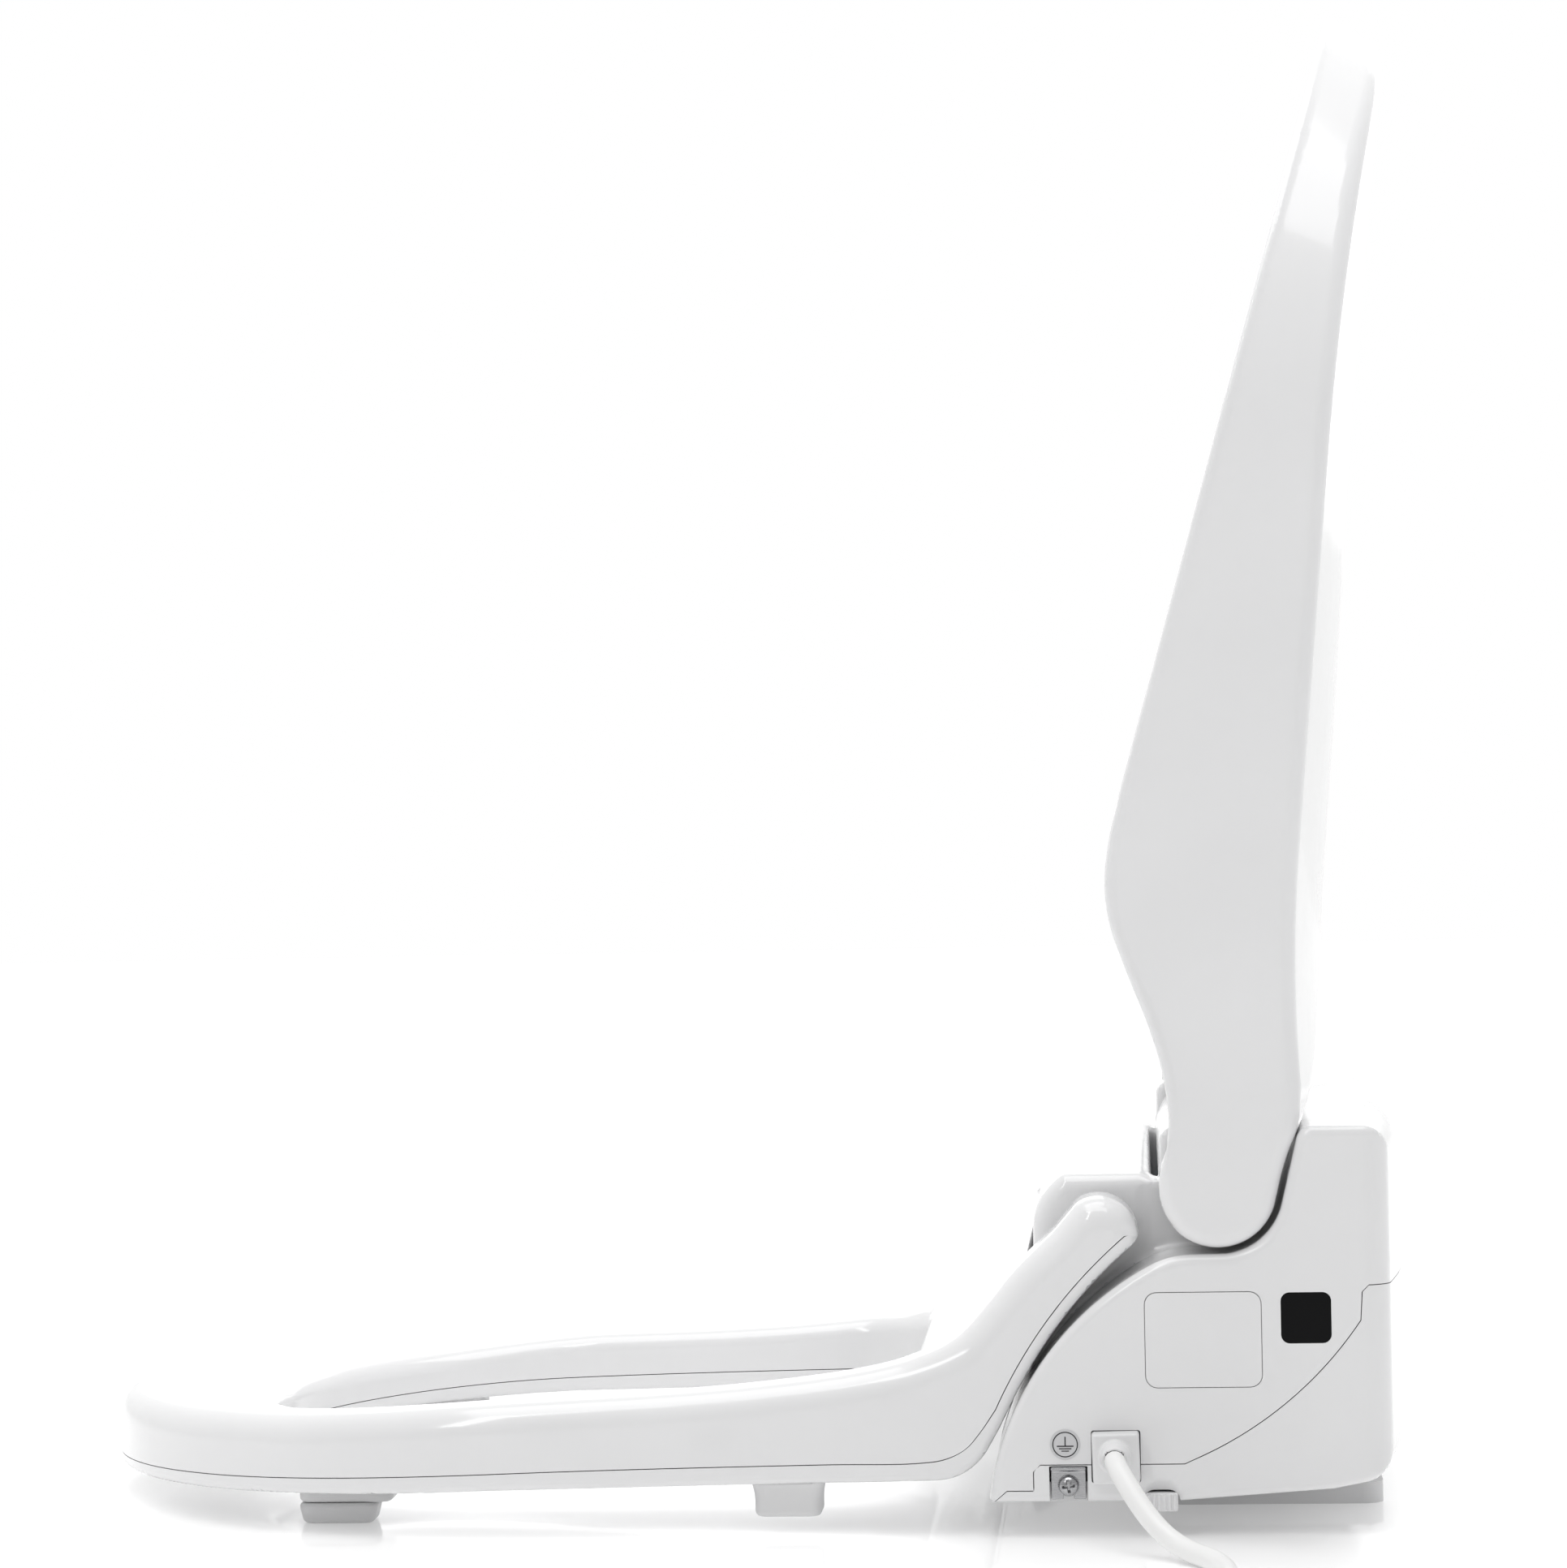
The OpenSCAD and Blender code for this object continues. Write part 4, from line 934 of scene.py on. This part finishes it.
def build_stage(colours):
    """Pale floor, a soft dome that is brighter behind, and three lamps."""
    side = 6.0
    mesh = bpy.data.meshes.new("floor")
    corners = [(-side, -side, 0), (side, -side, 0), (side, side, 0), (-side, side, 0)]
    mesh.from_pydata(corners, [], [(0, 1, 2, 3)])
    floor = bpy.data.objects.new("floor", mesh)
    bpy.context.scene.collection.objects.link(floor)
    finish = Finish("floor_white")
    white = tuple(colours.floor_white)
    finish.blend(finish.noise(3, 2), shaded(white, 0.99), shaded(white, 1.01))
    finish.sheen_of(finish.noise(6, 2), 0.04, 0.07)
    finish.set(IOR=1.32, Emission_Color=(1, 1, 1, 1), Emission_Strength=0.16)
    mesh.materials.append(finish.material)
    bpy.context.scene.view_settings.view_transform = "Standard"
    world = bpy.data.worlds.new("studio")
    bpy.context.scene.world = world
    world.use_nodes = True
    tree = world.node_tree
    tree.nodes.clear()
    out = tree.nodes.new("ShaderNodeOutputWorld")
    dome = tree.nodes.new("ShaderNodeBackground")
    place = tree.nodes.new("ShaderNodeTexCoord")
    split = tree.nodes.new("ShaderNodeSeparateXYZ")
    fade = tree.nodes.new("ShaderNodeMapRange")
    fade.inputs["From Min"].default_value = -0.35
    fade.inputs["From Max"].default_value = 0.9
    fade.inputs["To Min"].default_value = 1.25
    fade.inputs["To Max"].default_value = 0.5
    tree.links.new(place.outputs["Generated"], split.inputs[0])
    tree.links.new(split.outputs["X"], fade.inputs["Value"])
    tree.links.new(fade.outputs["Result"], dome.inputs["Strength"])
    tree.links.new(dome.outputs[0], out.inputs["Surface"])
    area_light("top_softbox", (0.25, -0.15, 1.9), (0, -0.15, 0), (1.5, 1.5), 16)
    area_light("back_sweep", (-2.2, -0.1, 1.2), (0, -0.1, 0.2), (2.4, 1.6), 22)
    area_light("front_strip", (1.3, -0.9, 1.5), (0.1, -0.2, 0.05), (0.25, 1.1), 5)


def finish_cad_nodes():
    """Every carried-over CAD node takes the material of its slot."""
    slots = {part["node"]: part["material_slot"] for part in frame["record"]["subparts"]}
    for name, piece in frame["nodes"].items():
        finish = FINISHES[slots[name]]
        if not piece.material_slots:
            piece.data.materials.append(finish)
        for slot in piece.material_slots:
            slot.material = finish


# ---- fittings on the side --------------------------------------------------------------------


def box_distance(x, y, z, lo, hi, r):
    """Signed distance to a box with its edges rounded to r."""
    q = [np.abs(p - (a + b) / 2) - (b - a) / 2 + r for p, a, b in zip((x, y, z), lo, hi)]
    outside = np.sqrt(sum(np.maximum(p, 0) ** 2 for p in q))
    return outside + np.minimum(np.maximum(np.maximum(q[0], q[1]), q[2]), 0) - r


def moulding(name, field, lo, hi, pitch):
    """A small piece from its field, sampled every pitch millimetres."""
    axes = [steps((a - 2 * pitch, b + 2 * pitch, pitch)) for a, b in zip(lo, hi)]
    points, faces = skin(field, *axes)
    piece = mesh_of(name, points, faces)
    return shade(piece, field, None, 0.3)


def build_inlet():
    """Cord block with its collar and boot."""

    def field(x, y, z):
        tilt = math.radians(1.0)
        yy = (y + 60.35) * math.cos(tilt) + (z - 29.95) * math.sin(tilt)
        zz = (z - 29.95) * math.cos(tilt) - (y + 60.35) * math.sin(tilt)
        far = np.hypot(y + 60.8, z - 30.8)
        draft = np.maximum(x - 186, 0) * 0.07
        shape = box_distance(x, yy, zz, (180, -8.85, -9.45), (193.5, 8.85, 9.45), 1.2) + draft * 0.5
        collar = both(far - 6.35, np.abs(x - 193.5) - 1.8, 0.8)
        boot = both(far - 5.5 + np.clip((x - 195.3) / 8.7, 0, 1) * 0.9, np.abs(x - 194) - 10, 0.7)
        shape = either(shape, collar, 0.5)
        shape = either(shape, boot, 0.6)
        return both(shape, 3.86 - far, 0.3)

    piece = moulding("cord_inlet_moulding", field, (180, -70, 20), (204, -51, 40), 0.62)
    wear(piece, "white_satin", "base", "cord_inlet")


def build_terminal():
    """Earth terminal: a bent plate and a cross-headed screw."""

    def plate(x, y, z):
        shape = box_distance(x, y, z, (184, -84.6, 14.2), (185.2, -71.6, 25.4), 0.35)
        fold = box_distance(x, y, z, (184, -84.6, 25.0), (187.2, -71.6, 26.2), 0.35)
        shape = either(shape, fold, 0.8)
        dy, dz = y - EARTH_SCREW[0], z - EARTH_SCREW[1]
        slot = np.minimum(np.maximum(np.abs(dy) - 1.95, dz), np.hypot(dy, dz) - 1.95)
        return both(shape, -slot, 0.2)

    def screw(x, y, z):
        dy, dz = y - EARTH_SCREW[0], z - EARTH_SCREW[1]
        far = np.hypot(dy, dz)
        dome = np.hypot(x - 183.9, far) - 4.9 + np.maximum(far - 2.5, 0) * 0.12
        head = both(dome, far - 3.7, 0.5)
        head = both(head, 185.2 - x, 0.2)
        a, b = np.abs(dy + 0.12 * dz), np.abs(dz - 0.12 * dy)
        taper = np.maximum(188.6 - x, 0) * 0.45
        cross = np.minimum(np.maximum(a - 0.5, b - 2.7 + taper), np.maximum(b - 0.5, a - 2.7 + taper))
        cross = np.maximum(cross, 186.4 - x)
        washer = both(far - 4.0, np.abs(x - 185.5) - 0.3, 0.2)
        shape = np.minimum(both(head, -cross, 0.15), washer)
        shank = np.maximum(far - 1.9, np.abs(x - 181.5) - 4.2)
        return np.minimum(shape, shank)

    piece = moulding("earth_plate_bent", plate, (184, -84.6, 14.2), (187.2, -71.6, 26.2), 0.34)
    wear(piece, "steel", "base", "earth_plate")
    piece = moulding("earth_screw_head", screw, (177.3, -82.2, 15.2), (188.9, -74, 23.4), 0.24)
    wear(piece, "steel", "base", "earth_screw")


def build_badge():
    """Earth badge: a small disc with the generic earth sign raised on it."""
    centre = (-79.1, 34.6)
    disc = rod("earth_badge_disc", (186, *centre), (1, 0, 0), 5.7, 0.18, 96)
    wear(disc, "light_grey", "base", "earth_badge", finish="badge_face")
    ring = []
    faces = []
    for i in range(72):
        a = 2 * math.pi * i / 72
        for r in (4.35, 4.75):
            for x in (186.18, 186.26):
                ring.append((x, centre[0] + r * math.cos(a), centre[1] + r * math.sin(a)))
    for i in range(72):
        a, b = 4 * i, 4 * ((i + 1) % 72)
        faces += [[a + 1, b + 1, b + 3, a + 3], [a, a + 2, b + 2, b], [a + 2, a + 3, b + 3, b + 2],
                  [a, b, b + 1, a + 1]]
    for y0, y1, z0, z1 in ((-0.22, 0.22, -0.5, 2.9), (-3.1, 3.1, -0.85, -0.4), (-2.3, 2.3, -1.75, -1.35),
                           (-1.4, 1.4, -2.6, -2.25)):
        n = len(ring)
        for x in (186.18, 186.26):
            for y, z in ((y0, z0), (y1, z0), (y1, z1), (y0, z1)):
                ring.append((x, centre[0] + y, centre[1] + z))
        faces += [[n + 4, n + 5, n + 6, n + 7], [n + 3, n + 2, n + 1, n]]
        faces += [[n + i, n + (i + 1) % 4, n + 4 + (i + 1) % 4, n + 4 + i] for i in range(4)]
    sign = mesh_of("earth_sign", ring, faces)
    wear(sign, "dark_grey", "base", finish="ink")


def build_button():
    """Release button with its grip ribs."""

    def field(x, y, z):
        shape = box_distance(x, y, z, (176, -49.7, 9.7), (188, -37.7, 16.4), 0.8)
        rib = np.abs((y + 43.7 + 50 * 1.9) % 1.9 - 0.95)
        reach = box_distance(x, y, z, (180, -49.2, 10), (190, -38.2, 16.1), 0.6)
        ribs = both(np.hypot(x - 187.9, rib) - 0.62, reach, 0.2)
        shape = np.minimum(shape, ribs)
        bore = np.maximum(np.hypot(y + 43.7, z - 13) - 2.4, x - 182)
        return both(shape, -bore, 0.2)

    piece = moulding("release_button_ribbed", field, (176, -49.7, 9.7), (188.6, -37.7, 16.4), 0.4)
    wear(piece, "white_satin", "button", "release_button")


def build_bumpers():
    """Buffers under the seat, flared where they meet it."""

    def under(x, y, z):
        return outline_distance(SEAT_SIDE, y, z)

    def pair(centre, half, low, flare):
        def field(x, y, z):
            grow = flare * np.clip((z - low - 5) / 9.0, 0, 1) ** 2
            qx = np.abs(np.abs(x) - centre[0]) - half[0] + 5 - grow
            qy = np.abs(y - centre[1]) - half[1] + 5 - grow
            side = np.hypot(np.maximum(qx, 0), np.maximum(qy, 0)) + np.minimum(np.maximum(qx, qy), 0) - 5
            shape = both(side * 0.97, low - z, 2.2)
            return both(shape, 0.12 - under(x, y, z), 0.1)
        return field

    front = pair((130, -357), (10.3, 18.3), 8.12, 1.2)
    piece = moulding("front_bumper_pair", front, (-142, -377, 8), (142, -337, 18), 1.1)
    wear(piece, "white_satin", "seat", "front_bumpers")

    def pad(x, y, z):
        qx, qy = np.abs(np.abs(x) - 130) - 4.5, np.abs(y + 360.2) - 9.2
        side = np.hypot(np.maximum(qx, 0), np.maximum(qy, 0)) + np.minimum(np.maximum(qx, qy), 0) - 6
        return both(side + np.maximum(6 - z, 0) * 0.25, np.abs(z - 4) - 4, 1.6)

    piece = moulding("front_pad_pair", pad, (-141, -376, 0), (141, -344, 8), 1.1)
    wear(piece, "bumper_rubber", "seat", "front_pads")
    mid = pair((164, -183.5), (10.6, 12.6), 6.5, 1.6)
    piece = moulding("mid_bumper_pair", mid, (-177, -199, 6), (177, -168, 24), 1.1)
    wear(piece, "bumper_rubber", "seat", "mid_bumpers")


def build_plug():
    """Plug with a grip and a tapered neck."""

    def field(x, y, z):
        x, z = x - 383.8, z - 6.9
        length = -168 - y
        far = np.hypot(x, z)
        neck = both(far - 4.6 - np.clip(length / 22, 0, 1) * 1.0, np.abs(length - 12) - 12, 0.8)
        rings = 0.35 * np.sin(np.clip(length, 0, 20) * math.pi / 2.0) * (length < 20)
        grip = np.clip(1 - np.abs(length - 38) / 14, 0, 1) * 0.9
        body = box_distance(x, length, z, (-12.5, 22, -6.8), (12.5, 52, 9.2), 3.2) + grip * (np.abs(x) > 6)
        return both(either(neck + rings, body, 1.5), 3.86 - far + np.where(length > 1.5, 50, 0), 0.3)

    piece = moulding("plug_moulding", field, (371, -220.2, 0), (396.5, -168, 16.3), 0.9)
    wear(piece, "cord_white", "base", "plug_body")


# ---- operators and panel ---------------------------------------------------------------------


def settings():
    return bpy.context.scene.bidet_seat


class BidetSettings(bpy.types.PropertyGroup):
    """All settings of the bidet seat."""

    shells: PointerProperty(type=BidetShellSizes)
    colours: PointerProperty(type=BidetColours)
    cord: PointerProperty(type=BidetCordSizes)


class BIDET_OT_finishes(bpy.types.Operator):
    """Make the materials and give them to the carried-over pieces"""

    bl_idname = "bidet.finishes"
    bl_label = "Finishes"

    def execute(self, context):
        build_finishes(settings().colours)
        finish_cad_nodes()
        return {"FINISHED"}


class BIDET_OT_camera(bpy.types.Operator):
    """Set up the camera at the seat's side"""

    bl_idname = "bidet.camera"
    bl_label = "Camera"

    def execute(self, context):
        build_camera()
        return {"FINISHED"}


class BIDET_OT_cord(bpy.types.Operator):
    """Lay the mains cord with its coil"""

    bl_idname = "bidet.cord"
    bl_label = "Mains cord"

    def execute(self, context):
        build_plug()
        build_cord(settings().cord)
        return {"FINISHED"}


class BIDET_OT_stage(bpy.types.Operator):
    """Lay the pale floor and set the studio light"""

    bl_idname = "bidet.stage"
    bl_label = "Stage"

    def execute(self, context):
        build_stage(settings().colours)
        return {"FINISHED"}


class BIDET_OT_housing(bpy.types.Operator):
    """Build the housing's cover and tray"""

    bl_idname = "bidet.housing"
    bl_label = "Housing"

    def execute(self, context):
        build_housing(settings().shells)
        return {"FINISHED"}


class BIDET_OT_seat(bpy.types.Operator):
    """Build the seat's two shells and its heating foil"""

    bl_idname = "bidet.seat"
    bl_label = "Seat"

    def execute(self, context):
        build_seat(settings().shells)
        build_heater()
        return {"FINISHED"}


class BIDET_OT_lid(bpy.types.Operator):
    """Build the lid"""

    bl_idname = "bidet.lid"
    bl_label = "Lid"

    def execute(self, context):
        build_lid(settings().shells)
        return {"FINISHED"}


class BIDET_OT_fittings(bpy.types.Operator):
    """Build the cord block, the earth terminal, its badge and the release button"""

    bl_idname = "bidet.fittings"
    bl_label = "Side fittings"

    def execute(self, context):
        build_inlet()
        build_terminal()
        build_badge()
        build_button()
        return {"FINISHED"}


class BIDET_OT_bumpers(bpy.types.Operator):
    """Build the buffers under the seat"""

    bl_idname = "bidet.bumpers"
    bl_label = "Seat buffers"

    def execute(self, context):
        build_bumpers()
        return {"FINISHED"}


STEPS = (BIDET_OT_camera, BIDET_OT_finishes, BIDET_OT_cord, BIDET_OT_stage, BIDET_OT_housing, BIDET_OT_seat,
         BIDET_OT_lid, BIDET_OT_fittings, BIDET_OT_bumpers)


class BIDET_PT_panel(bpy.types.Panel):
    """Steps and settings of the bidet seat"""

    bl_label = "Bidet seat"
    bl_idname = "BIDET_PT_panel"
    bl_space_type = "VIEW_3D"
    bl_region_type = "UI"
    bl_category = "Bidet seat"

    def draw(self, context):
        for step in STEPS:
            self.layout.operator(step.bl_idname)
        for group in (settings().shells, settings().colours, settings().cord):
            box = self.layout.box()
            for name in group.bl_rna.properties.keys():
                if name not in ("rna_type", "name"):
                    box.prop(group, name)


CLASSES = (BidetShellSizes, BidetColours, BidetCordSizes, BidetSettings, *STEPS, BIDET_PT_panel)


def register():
    for item in CLASSES:
        bpy.utils.register_class(item)
    bpy.types.Scene.bidet_seat = PointerProperty(type=BidetSettings)


def unregister():
    del bpy.types.Scene.bidet_seat
    for item in reversed(CLASSES):
        bpy.utils.unregister_class(item)


def main():
    register()
    for step in STEPS:
        group, name = step.bl_idname.split(".")
        getattr(getattr(bpy.ops, group), name)()
    bpy.context.view_layer.update()
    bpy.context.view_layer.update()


if __name__ == "__main__":
    main()
